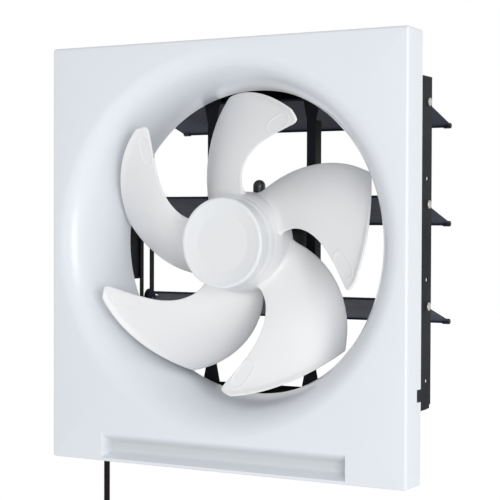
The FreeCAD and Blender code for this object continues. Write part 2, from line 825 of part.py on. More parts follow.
def link_rivets():
    """Rivets set in the link, whose inner ends turn in the louvres' cranks."""
    inner, outer = link_planes()
    tip = -left_tab_outer + tab_sheet + side_clearance / 2
    rivets = []
    for z in pivot_heights:
        pin = crank_point(z)
        rivet = rod(rivet_radius, V(outer, pin.y, pin.z), V(tip, pin.y, pin.z))
        head = rod(rivet_head_radius, V(tip, pin.y, pin.z), V(tip + rivet_head_height, pin.y, pin.z))
        rivets.append(rivet.fuse(head).removeSplitter())
    return Part.makeCompound(rivets)


def box_corner():
    """The terminal box's right and upper faces, in the frame's lower left corner."""
    return -wall_inner + box_width, -floor_inner + box_height


def terminal_box():
    """A box in the lower left corner, open towards the room."""
    right, top = box_corner()
    left, low = -wall_inner, -floor_inner
    body = block(left, right, -box_front, box_rear, low, top)
    hollow = block(left + box_wall, right - box_wall, -box_front - overrun, box_rear - box_wall,
                   low + box_wall, top - box_wall)
    entry = rod(cord_radius, V(cord_across, cord_depth, low - overrun),
                V(cord_across, cord_depth, low + overrun))
    return body.cut(hollow).cut(entry)


def terminal_box_cover():
    """The lid of the terminal box, rounded round its front face."""
    right, top = box_corner()
    left, low = -wall_inner, -floor_inner
    lid = block(left, right, -box_front - box_cover_thickness, -box_front, low, top)
    middle_y = -box_front - box_cover_thickness / 2
    rim = [e for e in lid.Edges if e.BoundBox.YMax < middle_y]
    return lid.makeFillet(box_cover_thickness / 2, rim)


def terminal_block():
    """The terminal block on the rear wall of its box, with two clamping screws' wells."""
    right, top = box_corner()
    x = (-wall_inner + right) / 2
    z = (-floor_inner + top) / 2
    rear = box_rear - box_wall
    body = block(x - block_width / 2, x + block_width / 2, rear - block_depth, rear,
                 z - block_height / 2, z + block_height / 2)
    for side in (-1, 1):
        well = V(x + side * block_width / 4, rear - block_depth, z)
        body = body.cut(rod(screw_radius, well - Y_AXIS * overrun, well + Y_AXIS * (block_depth / 2)))
    return body


def run_capacitor():
    """The run capacitor, a rounded block in the upper left corner."""
    left = -wall_inner
    high = floor_inner
    body = block(left, left + capacitor_width, capacitor_front, capacitor_front + capacitor_depth,
                 high - capacitor_height, high)
    long_edges = [e for e in body.Edges if abs(e.tangentAt(e.FirstParameter).y) > math.sqrt(0.5)]
    return body.makeFillet(capacitor_edge_radius, long_edges)


def cord_gland():
    """The tapered strain relief below the terminal box, bored for the cord."""
    top = V(cord_across, cord_depth, -floor_inner)
    down = V(0, 0, -1)
    collar = rod(relief_collar_radius, top, top + down * relief_collar_height)
    taper = Part.makeCone(relief_collar_radius, relief_tip_radius, relief_length - relief_collar_height,
                          top + down * relief_collar_height, down)
    bore = rod(cord_radius, top, top + down * relief_length)
    return collar.fuse(taper).cut(bore).removeSplitter()


def coil_places():
    """Where the loops cross the coil's middle height: left, right, left and so on."""
    half_pitch = coil_loop_pitch / 2
    outer = coil_mid_radius + coil_turns_in * half_pitch
    steps_in = int(2 * coil_turns_in)
    steps_out = int(2 * coil_turns_out)
    reaches = [outer - i * half_pitch for i in range(steps_in + 1)]
    reaches += [reaches[-1] + i * half_pitch for i in range(steps_out + 1)]
    centre_x = cord_across + outer
    places = []
    for i, reach in enumerate(reaches):
        side = -1 if i % 2 == 0 else 1
        layer = 0 if i <= steps_in else 1
        places.append(V(centre_x + side * reach, cord_depth - layer * coil_layer_pitch, coil_centre_height))
    return places


def coil_path():
    """The coil's centre line: half turns through its places, a short straight at each end."""
    places = coil_places()
    edges = [Part.makeLine(places[0] + Z_AXIS * cord_diameter, places[0])]
    for i, (a, b) in enumerate(zip(places, places[1:])):
        reach = (b - a).Length / 2
        drop = -reach if i % 2 == 0 else reach
        middle = (a + b) * 0.5 + Z_AXIS * drop
        edges.append(Part.Arc(a, middle, b).toShape())
    edges.append(Part.makeLine(places[-1], places[-1] - Z_AXIS * plug_tail))
    return Part.Wire(edges)


def least_gap(wire):
    """The least gap of the tube to itself, measured on points more than half a loop apart."""
    spacing = cord_diameter / 3
    count = int(wire.Length / spacing)
    points = wire.discretize(Number=count)
    apart = int(2 * cord_diameter / spacing) + 2
    least = min((points[i] - points[j]).Length for i in range(count) for j in range(i + apart, count))
    return least - cord_diameter


def power_cord_coil():
    """The tied coil, one unbroken tube."""
    wire = coil_path()
    start = wire.Edges[0].valueAt(wire.Edges[0].FirstParameter)
    ring_wire = Part.Wire([Part.makeCircle(cord_radius, start, Z_AXIS)])
    tube = wire.makePipeShell([ring_wire], True, False)
    print("coil: least gap %.2f, length %.1f, tube volume over section times length %.4f"
          % (least_gap(wire), wire.Length, tube.Volume / (math.pi * cord_radius ** 2 * wire.Length)))
    return tube


def power_cord_drop():
    """The straight drop of cord from the box, through the strain relief, to the coil."""
    top = V(cord_across, cord_depth, -floor_inner)
    bottom = V(cord_across, cord_depth, coil_centre_height + cord_diameter)
    print("cord: straight drop %.1f" % (top - bottom).Length)
    return rod(cord_radius, top, bottom)


def cord_tie():
    """The band that holds the coil's loops together at its right side."""
    places = coil_places()
    rights = [p.x for p in places[1::2]]
    slack = cord_radius + tie_slack
    x0, x1 = min(rights) - slack, max(rights) + slack
    y0, y1 = cord_depth - coil_layer_pitch - slack, cord_depth + slack
    low, high = coil_centre_height - tie_height / 2, coil_centre_height + tie_height / 2
    outer = block(x0 - tie_thickness, x1 + tie_thickness, y0 - tie_thickness, y1 + tie_thickness, low, high)
    upright = [e for e in outer.Edges if abs(e.tangentAt(e.FirstParameter).z) > math.sqrt(0.5)]
    outer = outer.makeFillet(2 * tie_thickness, upright)
    return outer.cut(block(x0, x1, y0, y1, low, high))


def plug_top():
    """Where the cord enters the plug."""
    return coil_places()[-1] - Z_AXIS * plug_tail


def plug_body():
    """The moulded plug with its own tapered relief."""
    top = plug_top()
    down = V(0, 0, -1)
    relief = Part.makeCone(relief_tip_radius, relief_collar_radius, plug_relief_length, top, down)
    low = top.z - plug_relief_length - plug_height
    body = block(top.x - plug_width / 2, top.x + plug_width / 2, top.y - plug_thickness / 2,
                 top.y + plug_thickness / 2, low, low + plug_height)
    body = body.makeFillet(plug_edge_radius, body.Edges)
    return body.fuse(relief).removeSplitter()


def plug_pins():
    """The two flat pins of the plug."""
    top = plug_top()
    start = top.z - plug_relief_length - plug_height
    pins = []
    for side in (-1, 1):
        x = top.x + side * plug_pin_spacing / 2
        half = plug_pin_thickness / 2
        pins.append(block(x - half, x + half, top.y - plug_pin_width / 2, top.y + plug_pin_width / 2,
                          start - plug_pin_length, start))
    return Part.makeCompound(pins)


def main():
    """Make every piece and write it to its own file."""
    os.makedirs("parts", exist_ok=True)
    export("front_panel", front_panel())
    export("bell_mouth", bell_mouth())
    export("propeller_hub", propeller_hub())
    export("propeller_blades", propeller_blades())
    export("spinner_nut", spinner_nut())
    export("motor_shaft", motor_shaft())
    export("drive_pin", drive_pin())
    export("rotor_core", rotor_core())
    export("motor_front_shell", motor_front_shell())
    export("motor_rear_shell", motor_rear_shell())
    core_radius = motor_radius - motor_wall - core_gap
    export("stator_core", ring(core_radius, core_bore_radius, core_front, core_rear))
    export("stator_winding", stator_winding())
    bearing_bore = shaft_radius + pin_clearance
    export("front_bearing", ring(bearing_radius, bearing_bore, motor_front, bearing_rear_y))
    export("rear_bearing", ring(bearing_radius, bearing_bore, rear_bearing_y, motor_rear))
    export("motor_bushes", motor_bushes())
    export("motor_screws", motor_screws())
    export("lead_bush", lead_bush())
    export("motor_stay_left", motor_stay(-1))
    export("motor_stay_right", motor_stay(1))
    export("stay_screws", stay_screws())
    export("frame_top", frame_top())
    export("frame_floor", frame_floor())
    export("frame_left_side", frame_side(-1))
    export("frame_right_side", frame_side(1))
    export("wall_flange", wall_flange())
    export("panel_clips", panel_clips())
    for name, z in zip(louvre_names, pivot_heights):
        export("louvre_%s" % name, louvre_blade(z))
        export("louvre_%s_buffers" % name, louvre_buffers(z))
    export("pivot_pins_left", pivot_pins(-1))
    export("pivot_pins_right", pivot_pins(1))
    export("shutter_link", shutter_link())
    export("link_rivets", link_rivets())
    export("terminal_box", terminal_box())
    export("terminal_box_cover", terminal_box_cover())
    export("terminal_block", terminal_block())
    export("run_capacitor", run_capacitor())
    export("cord_gland", cord_gland())
    export("power_cord_drop", power_cord_drop())
    export("power_cord_coil", power_cord_coil())
    export("cord_tie", cord_tie())
    export("plug_body", plug_body())
    export("plug_pins", plug_pins())


if __name__ == "__main__":
    main()
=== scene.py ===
import math

import bmesh
import bpy
from bpy.props import FloatProperty, FloatVectorProperty, IntProperty, PointerProperty
from mathutils import Matrix, Vector


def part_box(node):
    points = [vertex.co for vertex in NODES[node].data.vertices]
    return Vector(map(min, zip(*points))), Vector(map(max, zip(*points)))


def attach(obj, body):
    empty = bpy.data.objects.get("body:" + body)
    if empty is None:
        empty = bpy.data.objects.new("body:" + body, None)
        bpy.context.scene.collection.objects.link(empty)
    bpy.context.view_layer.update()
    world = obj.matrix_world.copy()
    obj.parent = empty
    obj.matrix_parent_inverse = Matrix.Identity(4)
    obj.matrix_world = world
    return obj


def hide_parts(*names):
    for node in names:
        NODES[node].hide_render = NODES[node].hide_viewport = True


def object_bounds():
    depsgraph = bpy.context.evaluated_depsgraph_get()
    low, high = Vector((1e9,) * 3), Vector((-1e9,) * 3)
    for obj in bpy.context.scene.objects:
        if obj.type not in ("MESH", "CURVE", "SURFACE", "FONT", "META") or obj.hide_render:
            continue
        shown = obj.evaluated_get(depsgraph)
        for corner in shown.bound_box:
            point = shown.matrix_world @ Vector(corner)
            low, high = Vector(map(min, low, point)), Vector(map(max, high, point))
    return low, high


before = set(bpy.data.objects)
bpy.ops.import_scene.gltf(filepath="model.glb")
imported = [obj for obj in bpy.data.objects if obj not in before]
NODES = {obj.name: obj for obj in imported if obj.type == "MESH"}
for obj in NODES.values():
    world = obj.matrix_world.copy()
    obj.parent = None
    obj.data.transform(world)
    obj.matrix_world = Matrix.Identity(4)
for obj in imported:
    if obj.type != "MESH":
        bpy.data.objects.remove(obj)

bl_info = {
    "name": "Wall exhaust fan",
    "version": (1, 0, 0),
    "blender": (4, 5, 0),
    "location": "View3D > Sidebar > Fan",
    "description": "Dresses the packed wall fan: panel, propeller, sheet frame, shutter and power cord",
    "category": "Object",
}

CAD_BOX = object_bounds()

# The blade's stations: shares of the span, of the pitch angle and of the blade's depth
SPAN_SHARES = (0.0, 0.167, 0.333, 0.5, 0.667, 0.833, 0.94, 1.0)
LEAD_TURN_SHARES = (0.392, 0.407, 0.345, 0.239, 0.12, 0.022, -0.015, 0.04)
TRAIL_TURN_SHARES = (1.272, 1.147, 1.035, 0.929, 0.825, 0.72, 0.647, 0.606)
LEAD_DEPTH_SHARES = (0.555, 0.483, 0.404, 0.318, 0.227, 0.126, 0.051, 0.026)
TRAIL_DEPTH_SHARES = (0.819, 0.909, 0.968, 0.999, 1.0, 0.971, 0.936, 0.917)
LEAD_SLOPE_SHARE = 0.44


def length(name, default, description):
    """A length property in metres."""
    return FloatProperty(name=name, default=default, description=description, unit="LENGTH", precision=5)


def angle(name, degrees, description):
    """An angle property, given in degrees."""
    return FloatProperty(name=name, default=math.radians(degrees), description=description, subtype="ANGLE")


def number(name, default, description):
    """A plain number property."""
    return FloatProperty(name=name, default=default, description=description)


def vector(name, default, description, subtype="TRANSLATION"):
    """A place or a direction."""
    return FloatVectorProperty(name=name, default=default, description=description, subtype=subtype, size=3)


def colour(name, default, description):
    """A colour property, in linear light."""
    return FloatVectorProperty(name=name, default=default, description=description,
                               subtype="COLOR", size=3, min=0.0, max=1.0)


class FAN_PG_camera(bpy.types.PropertyGroup):
    """The camera's place and lens."""
    place: vector("Place", (0.6887, -1.2301, 0.0208), "Where the camera stands")
    yaw: angle("Yaw", 28.64, "Turn to the left of straight ahead")
    pitch: angle("Pitch", 1.14, "Tilt below the horizon")
    roll: angle("Roll", 0.2, "Turn about the line of sight")
    lens: number("Lens", 101.73, "Focal length on a 36 mm sensor")


class FAN_PG_panel(bpy.types.PropertyGroup):
    """The front panel with its bell mouth."""
    wall: length("Wall", 0.0026, "Wall thickness of the moulding")
    edge: length("Edge radius", 0.003, "Rounding of the front edge")
    corner: length("Corner radius", 0.0030, "Rounding of the four corners")
    bell_outer: length("Bell outer radius", 0.1915, "Radius where the bell leaves the face")
    throat: length("Throat radius", 0.1553, "Radius of the bell's throat")
    bell_depth: length("Bell depth", 0.0755, "Depth of the rolled lip")
    throat_straight: length("Throat length", 0.0055, "Straight run behind the lip")
    scoop_width: length("Scoop width", 0.275, "Width of the finger scoop")
    scoop_height: length("Scoop height", 0.0267, "Height of the finger scoop")
    scoop_depth: length("Scoop depth", 0.0115, "Depth of the finger scoop")
    scoop_foot: length("Scoop foot", 0.0038, "Rim below the finger scoop")
    scoop_bevel: length("Scoop bevel", 0.005, "Slant of the scoop's two ends")
    tint: colour("Tint", (0.835, 0.872, 0.922), "Colour of the moulding")
    shade: colour("Shade", (0.827, 0.865, 0.917), "Colour of the moulding where it is a little darker")
    # Painted shade: a greyer colour laid on the floor of the scoop, darkening the recess where shade falls
    scoop_painted_shade: colour("Scoop painted shade", (0.645, 0.675, 0.695), "Colour of the fine texture on the scoop's floor")


class FAN_PG_propeller(bpy.types.PropertyGroup):
    """The propeller and its spinner nut."""
    blades: IntProperty(name="Blades", default=5, min=2, description="Number of blades")
    radius: length("Radius", 0.150, "Radius at the blade tips")
    root: length("Root radius", 0.0483, "Radius where the blades leave the hub")
    depth: length("Blade depth", 0.0723, "Depth from leading tip to trailing edge")
    front: length("Front", -0.0337, "Y of the leading tips")
    thickness: length("Thickness", 0.0024, "Thickness of a blade")
    first: angle("First blade", 55.7, "Angle of the first blade's leading tip")
    pad_reach: length("Pad reach", 0.1305, "Radius of the embossed pad's middle")
    pad_turn: angle("Pad turn", 63.0, "Angle of the first pad's middle")
    pad_lean: angle("Pad lean", 22.0, "Direction of the pad's long axis")
    pad_long: length("Pad long half", 0.0152, "Half of the pad's length")
    pad_short: length("Pad short half", 0.0068, "Half of the pad's width")
    pad_rise: length("Pad rise", 0.00045, "Height of the pad's raised outline")
    tint: colour("Tint", (0.867, 0.872, 0.883), "Colour of the blades")
    shade: colour("Shade", (0.859, 0.865, 0.876), "Colour of the blades where they are a little darker")
    spinner_tint: colour("Spinner tint", (0.835, 0.868, 0.910), "Colour of the spinner nut")


class FAN_PG_metal(bpy.types.PropertyGroup):
    """Finishes of the sheet metal and the hardware."""
    frame_paint: colour("Frame paint", (0.0060, 0.0072, 0.0096), "Paint of the sheet frame")
    louvre_paint: colour("Louvre paint", (0.032, 0.040, 0.066), "Paint of the louvres")
    motor_paint: colour("Motor paint", (0.012, 0.012, 0.014), "Paint of the motor case")
    worn_paint: colour("Worn paint", (0.05, 0.054, 0.064), "Paint where it is rubbed")
    zinc: colour("Zinc", (0.62, 0.62, 0.60), "Zinc plating")
    zinc_dull: colour("Dull zinc", (0.40, 0.40, 0.38), "Zinc plating where it is dull")
    copper: colour("Copper", (0.62, 0.27, 0.12), "Enamelled winding wire")
    brass: colour("Brass", (0.72, 0.56, 0.28), "Plug pins")


class FAN_PG_cord(bpy.types.PropertyGroup):
    """The power cord with its coil."""
    diameter: length("Diameter", 0.0062, "Diameter of the cord")
    across: length("Across", -0.1483, "X of the straight drop")
    depth: length("Depth", -0.008, "Y of the straight drop")
    top: length("Top", -0.1658, "Z where the cord leaves the box")
    coil_height: length("Coil height", -0.317, "Z of the coil's middle")
    coil_radius: length("Coil radius", 0.034, "Radius at the middle of the turns")
    loop_pitch: length("Loop pitch", 0.0078, "Spacing of the loops in one layer")
    layer_pitch: length("Layer pitch", 0.0077, "Spacing of the two layers")
    tail: length("Tail", 0.026, "Run from the coil to the plug")
    cord_length: length("Length", 0.99, "Whole length of the cord")
    tint: colour("Tint", (0.0075, 0.0046, 0.0046), "Colour of the cord")
    rubber: colour("Rubber", (0.006, 0.006, 0.0064), "Colour of bushes and beads")


class FAN_PG_stage(bpy.types.PropertyGroup):
    """The floor, the light all round and the tall lamp."""
    floor_drop: length("Floor drop", 0.06, "Gap between the plug and the floor")
    sky: number("Sky", 0.55, "Strength of the even light all round")
    sky_slant: vector("Sky slant", (0.26, -0.23, -0.17), "Where the even light grows to, and by how much", "DIRECTION")
    floor_glow: number("Floor glow", 0.34, "Strength of the light table's own light")
    floor_white: number("Floor white", 0.635, "Glow that makes the lit light table look white to the eye")
    key: number("Key lamp", 17.0, "Power of the tall lamp at the right")
    key_place: vector("Key place", (1.75, -1.60, 0.0), "Where the tall lamp stands")
    key_width: length("Key width", 0.9, "Width of the tall lamp")
    key_height: length("Key height", 1.1, "Height of the tall lamp")


# Meshes


def linked(name, data):
    """A new object of the scene."""
    made = bpy.data.objects.new(name, data)
    bpy.context.scene.collection.objects.link(made)
    return made


def coat(data, material):
    """Give a mesh or a curve its one material."""
    data.materials.clear()
    data.materials.append(material)


def new_piece(name, mesh, material, body):
    """Link a mesh to the scene, let it ride on a body and give it its finish."""
    piece = linked(name, mesh)
    coat(mesh, material)
    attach(piece, body)
    return piece


def mesh_of(name, points, faces, sharp_degrees=32):
    """A smooth mesh with outward normals, and edges kept sharp above an angle."""
    mesh = bpy.data.meshes.new(name)
    mesh.from_pydata(points, [], faces)
    tidy_mesh(mesh, sharp_degrees)
    return mesh


MERGE_REACH, LEAST_EDGE = 1e-6, 1e-7
LEAST_ROUNDING, ROUNDING_EDGE_SHARE = 1e-6, 0.45


def tidy_mesh(mesh, sharp_degrees):
    """Merge doubles, turn the normals outward and shade smooth below an angle."""
    work = bmesh.new()
    work.from_mesh(mesh)
    bmesh.ops.remove_doubles(work, verts=work.verts, dist=MERGE_REACH)
    bmesh.ops.dissolve_degenerate(work, edges=work.edges, dist=LEAST_EDGE)
    bmesh.ops.recalc_face_normals(work, faces=work.faces)
    work.to_mesh(mesh)
    work.free()
    mesh.polygons.foreach_set("use_smooth", [True] * len(mesh.polygons))
    mesh.set_sharp_from_angle(angle=math.radians(sharp_degrees))
    mesh.update()


def skin(rings, closed):
    """Points of rings of the same count and quads between them; the last ring joins the first if closed."""
    count = len(rings[0])
    points = [point for ring in rings for point in ring]
    faces = []
    for row in range(len(rings) if closed else len(rings) - 1):
        a = row * count
        b = ((row + 1) % len(rings)) * count
        for i in range(count):
            j = (i + 1) % count
            faces.append((a + i, a + j, b + j, b + i))
    return points, faces


def lathe(profile, segments, closed):
    """Points and faces of a profile of (radius, y) pairs turned about the fan axis."""
    turns = [2 * math.pi * i / segments for i in range(segments)]
    return skin([[(r * math.cos(t), y, r * math.sin(t)) for t in turns] for r, y in profile], closed)


def joined(parts):
    """Several (points, faces) pairs as one."""
    points, faces = [], []
    for some_points, some_faces in parts:
        start = len(points)
        points += some_points
        faces += [tuple(i + start for i in face) for face in some_faces]
    return points, faces


def rounded_profile(corners, radius, steps):
    """A closed profile whose corners are rounded, each by its own share of the radius."""
    rounded = []
    count = len(corners)
    for i, (r, y, share) in enumerate(corners):
        here = Vector((r, y))
        before = Vector(corners[i - 1][:2]) - here
        after = Vector(corners[(i + 1) % count][:2]) - here
        reach = min(radius * share, before.length * ROUNDING_EDGE_SHARE, after.length * ROUNDING_EDGE_SHARE)
        if reach < LEAST_ROUNDING:
            rounded.append((r, y))
            continue
        start = here + before.normalized() * reach
        end = here + after.normalized() * reach
        for step in range(steps + 1):
            t = step / steps
            point = start * (1 - t) ** 2 + here * (2 * t * (1 - t)) + end * t ** 2
            rounded.append((point.x, point.y))
    return rounded


def turned_profile(runs, radius, steps):
    """A rounded profile from runs of (radius, depth, rounding share) corners, each run behind its own start."""
    corners = [(reach, start + depth, share) for start, run in runs for reach, depth, share in run]
    return rounded_profile(corners, radius, steps)


def apply_boolean(piece, tool_mesh, operation):
    """Cut or join a piece with a closed tool mesh, for good."""
    tool = linked("tool", tool_mesh)
    modifier = piece.modifiers.new("tool", "BOOLEAN")
    modifier.object = tool
    modifier.operation = operation
    modifier.solver = "EXACT"
    graph = bpy.context.evaluated_depsgraph_get()
    made = bpy.data.meshes.new_from_object(piece.evaluated_get(graph))
    piece.modifiers.clear()
    piece.data = made
    bpy.data.objects.remove(tool)


def box_part(low, high):
    """Points and faces of a box between two corners."""
    points = [(x, y, z) for x in (low[0], high[0]) for y in (low[1], high[1]) for z in (low[2], high[2])]
    faces = [(0, 1, 3, 2), (4, 6, 7, 5), (0, 4, 5, 1), (2, 3, 7, 6), (0, 2, 6, 4), (1, 5, 7, 3)]
    return points, faces


# Materials


SURFACE_OUTPUTS = (("Colour", "NodeSocketColor"), ("Roughness", "NodeSocketFloat"), ("Height", "NodeSocketFloat"))
NOISE_LOW, NOISE_HIGH = 0.2, 0.8
LEAST_DUST = 0.35
# Share of the scoop's painted shade that stays at the scoop's foot
SCOOP_FOOT_PAINTED_SHADE = 0.3


def feed(tree, value, socket):
    """Give a socket a plain value or the output of another node."""
    if isinstance(value, bpy.types.NodeSocket):
        tree.links.new(value, socket)
    else:
        socket.default_value = value


def surface_group(name, inputs):
    """A new shader node group of a surface: the group, its inputs, its outputs and the object's coordinates."""
    group = bpy.data.node_groups.new(name, "ShaderNodeTree")
    for socket, default in inputs.items():
        kind = "NodeSocketFloat" if isinstance(default, float) else "NodeSocketColor"
        group.interface.new_socket(socket, in_out="INPUT", socket_type=kind).default_value = default
    for socket, kind in SURFACE_OUTPUTS:
        group.interface.new_socket(socket, in_out="OUTPUT", socket_type=kind)
    source = group.nodes.new("NodeGroupInput").outputs
    target = group.nodes.new("NodeGroupOutput").inputs
    return group, source, target, group.nodes.new("ShaderNodeTexCoord").outputs["Object"]


def noise(tree, place, scale, detail, roughness=0.5):
    """A noise texture's value on given coordinates."""
    node = tree.nodes.new("ShaderNodeTexNoise")
    for socket, value in (("Vector", place), ("Scale", scale), ("Detail", detail), ("Roughness", roughness)):
        feed(tree, value, node.inputs[socket])
    return node.outputs["Fac"]


def mapped(tree, value, start, end, low, high, kind="LINEAR"):
    """A value mapped from one range to another, and held at its ends."""
    node = tree.nodes.new("ShaderNodeMapRange")
    node.interpolation_type = kind
    ranges = {"Value": value, "From Min": start, "From Max": end, "To Min": low, "To Max": high}
    for socket, given in ranges.items():
        feed(tree, given, node.inputs[socket])
    return node.outputs["Result"]


def spread(tree, value, low, high):
    """A value mapped from the middle of a noise's range to between two sockets or numbers."""
    return mapped(tree, value, NOISE_LOW, NOISE_HIGH, low, high, "SMOOTHSTEP")


def mixed(tree, share, first, second):
    """A colour between two, by a share."""
    node = tree.nodes.new("ShaderNodeMix")
    node.data_type = "RGBA"
    for socket, value in (("Factor", share), ("A", first), ("B", second)):
        feed(tree, value, node.inputs[socket])
    return node.outputs["Result"]


def calculated(tree, operation, *values):
    """The result of a calculation on sockets or numbers."""
    node = tree.nodes.new("ShaderNodeMath")
    node.operation = operation
    for value, socket in zip(values, node.inputs):
        feed(tree, value, socket)
    return node.outputs["Value"]


def moulded_skin_group():
    """Moulded plastic: slow changes of tone, fine grain and a gloss that varies."""
    group, source, target, place = surface_group("Moulded skin", {
        "Colour": (0.8, 0.8, 0.8, 1), "Shade": (0.7, 0.7, 0.7, 1), "Tone Scale": 9.0, "Grain Scale": 1500.0,
        "Smooth": 0.3, "Rough": 0.4})
    tone = noise(group, place, source["Tone Scale"], 3.0)
    share = spread(group, tone, 0.0, 1.0)
    feed(group, mixed(group, share, source["Colour"], source["Shade"]), target["Colour"])
    feed(group, spread(group, tone, source["Smooth"], source["Rough"]), target["Roughness"])
    feed(group, noise(group, place, source["Grain Scale"], 2.0), target["Height"])
    return group


def sheet_paint_group():
    """Painted sheet: orange peel, rubbed patches and a thin film of dust on upward faces."""
    group, source, target, place = surface_group("Sheet paint", {
        "Colour": (0.03, 0.03, 0.03, 1), "Worn": (0.1, 0.1, 0.1, 1), "Peel Scale": 420.0, "Wear": 0.12,
        "Smooth": 0.36, "Rough": 0.52})
    patches = noise(group, place, 14.0, 6.0, 0.62)
    facing = group.nodes.new("ShaderNodeSeparateXYZ")
    feed(group, group.nodes.new("ShaderNodeNewGeometry").outputs["Normal"], facing.inputs["Vector"])
    upward = calculated(group, "MAXIMUM", facing.outputs["Z"], LEAST_DUST)
    rubbed = calculated(group, "MULTIPLY", spread(group, patches, 0.0, 1.0), source["Wear"])
    share = calculated(group, "MULTIPLY", rubbed, upward)
    feed(group, mixed(group, share, source["Colour"], source["Worn"]), target["Colour"])
    feed(group, spread(group, patches, source["Smooth"], source["Rough"]), target["Roughness"])
    feed(group, noise(group, place, source["Peel Scale"], 1.0), target["Height"])
    return group


def plated_metal_group():
    """Plated or bare metal: cloudy tone, fine drawn lines and a gloss that varies."""
    group, source, target, place = surface_group("Plated metal", {
        "Colour": (0.6, 0.6, 0.6, 1), "Dull": (0.4, 0.4, 0.4, 1), "Line Scale": 900.0, "Smooth": 0.28, "Rough": 0.4})
    cloud = noise(group, place, 160.0, 5.0, 0.6)
    drawn = group.nodes.new("ShaderNodeMapping")
    drawn.inputs["Scale"].default_value = (0.15, 1.0, 1.0)
    feed(group, place, drawn.inputs["Vector"])
    share = spread(group, cloud, 0.0, 1.0)
    feed(group, mixed(group, share, source["Colour"], source["Dull"]), target["Colour"])
    feed(group, spread(group, cloud, source["Smooth"], source["Rough"]), target["Roughness"])
    feed(group, noise(group, drawn.outputs["Vector"], source["Line Scale"], 2.0), target["Height"])
    return group


GROUP_MAKERS = {"Moulded skin": moulded_skin_group, "Sheet paint": sheet_paint_group,
                "Plated metal": plated_metal_group}


def finish(name, group_name, values, bump, **sockets):
    """A material: one shared group feeds the shader, and plain values sit on the shader's own sockets.

    The bump is the strength and the distance of the surface's fine relief."""
    made = bpy.data.materials.get(name)
    if made:
        return made
    made = bpy.data.materials.new(name)
    made.use_nodes = True
    tree = made.node_tree
    shader = tree.nodes["Principled BSDF"]
    group = tree.nodes.new("ShaderNodeGroup")
    group.node_tree = bpy.data.node_groups.get(group_name) or GROUP_MAKERS[group_name]()
    for socket, value in values.items():
        group.inputs[socket].default_value = (*value, 1) if hasattr(value, "__len__") else value
    dent = tree.nodes.new("ShaderNodeBump")
    dent.inputs["Strength"].default_value, dent.inputs["Distance"].default_value = bump
    feed(tree, group.outputs["Colour"], shader.inputs["Base Color"])
    feed(tree, group.outputs["Roughness"], shader.inputs["Roughness"])
    feed(tree, group.outputs["Height"], dent.inputs["Height"])
    feed(tree, dent.outputs["Normal"], shader.inputs["Normal"])
    for socket, value in sockets.items():
        shader.inputs[socket.replace("_", " ")].default_value = value
    return made


def moulded(name, tint, shade, tone, grain, gloss, relief, **sockets):
    """A moulded finish: two tones, the scales of tone and grain, and the gloss from smooth to rough."""
    return finish(name, "Moulded skin", {"Colour": tint, "Shade": shade, "Tone Scale": tone, "Grain Scale": grain,
                                         "Smooth": gloss[0], "Rough": gloss[1]}, relief, **sockets)


def plated(name, tint, dull, relief, lines=900.0):
    """A finish of plated or bare metal: two tones, and the scale of its drawn lines."""
    return finish(name, "Plated metal", {"Colour": tint, "Dull": dull, "Line Scale": lines}, relief, Metallic=1.0)


def dress(material, *nodes):
    """Give CAD nodes a material."""
    for node in nodes:
        coat(NODES[node].data, material)


def panel_finish(context):
    """Bluish white moulded plastic of the panel, with painted shade deep in the scoop."""
    size = context.scene.fan_panel
    made = bpy.data.materials.get("panel plastic")
    if made:
        return made
    made = moulded("panel plastic", size.tint, size.shade, tone=5.0, grain=1400.0, gloss=(0.235, 0.265),
                   relief=(0.02, 0.0002))
    tree = made.node_tree
    base = tree.nodes["Principled BSDF"].inputs["Base Color"]
    skin = base.links[0].from_socket
    # Painted shade: the scoop's greyer colour is mixed over the plastic, more where the recess is deeper
    feed(tree, mixed(tree, painted_scoop_shade_share(tree, size), skin, (*size.scoop_painted_shade, 1)), base)
    return made


def painted_scoop_shade_share(tree, size):
    """How much painted shade a place of the panel has: none on the face, most on the upper half of the scoop's floor.
    """
    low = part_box("front_panel")[0]
    foot = low.z + size.scoop_foot
    half = size.scoop_height / 2
    place = tree.nodes.new("ShaderNodeSeparateXYZ")
    feed(tree, tree.nodes.new("ShaderNodeTexCoord").outputs["Object"], place.inputs["Vector"])
    within = calculated(tree, "COMPARE", place.outputs["X"], 0.0, size.scoop_width / 2)
    level = calculated(tree, "COMPARE", place.outputs["Z"], foot + half, half)
    deep = mapped(tree, place.outputs["Y"], low.y, low.y + size.scoop_depth, 0.0, 1.0, "SMOOTHSTEP")
    raised = mapped(tree, place.outputs["Z"], foot, foot + half, SCOOP_FOOT_PAINTED_SHADE, 1.0, "SMOOTHSTEP")
    share = within
    for factor in (level, deep, raised):
        share = calculated(tree, "MULTIPLY", share, factor)
    return share


def frame_finish(context):
    """Near-black paint of the frame."""
    metal = context.scene.fan_metal
    return finish("frame paint", "Sheet paint",
                  {"Colour": metal.frame_paint, "Worn": metal.worn_paint, "Smooth": 0.5, "Rough": 0.66},
                  (0.10, 0.0003), Specular_IOR_Level=0.12)


def rubber_finish(context):
    """Black moulded rubber."""
    cord = context.scene.fan_cord
    return moulded("black rubber", cord.rubber, (0.011, 0.011, 0.0115), tone=60.0, grain=2600.0, gloss=(0.3, 0.44),
                   relief=(0.10, 0.0002), Specular_IOR_Level=0.3)


# Operators


class FAN_OT_camera(bpy.types.Operator):
    """Set up the camera at the photograph's place."""
    bl_idname = "fan.camera"
    bl_label = "Camera"

    SENSOR_MM = 36.0
    NEAREST, FARTHEST = 0.05, 60.0

    def execute(self, context):
        view = context.scene.fan_camera
        data = bpy.data.cameras.new("camera")
        data.sensor_width = self.SENSOR_MM
        data.lens = view.lens
        data.clip_start, data.clip_end = self.NEAREST, self.FARTHEST
        camera = linked("camera", data)
        camera.matrix_world = Matrix.Translation(view.place)
        for turn, axis in ((view.yaw, "Z"), (math.pi / 2 - view.pitch, "X"), (view.roll, "Z")):
            camera.matrix_world = camera.matrix_world @ Matrix.Rotation(turn, 4, axis)
        context.scene.camera = camera
        return {"FINISHED"}


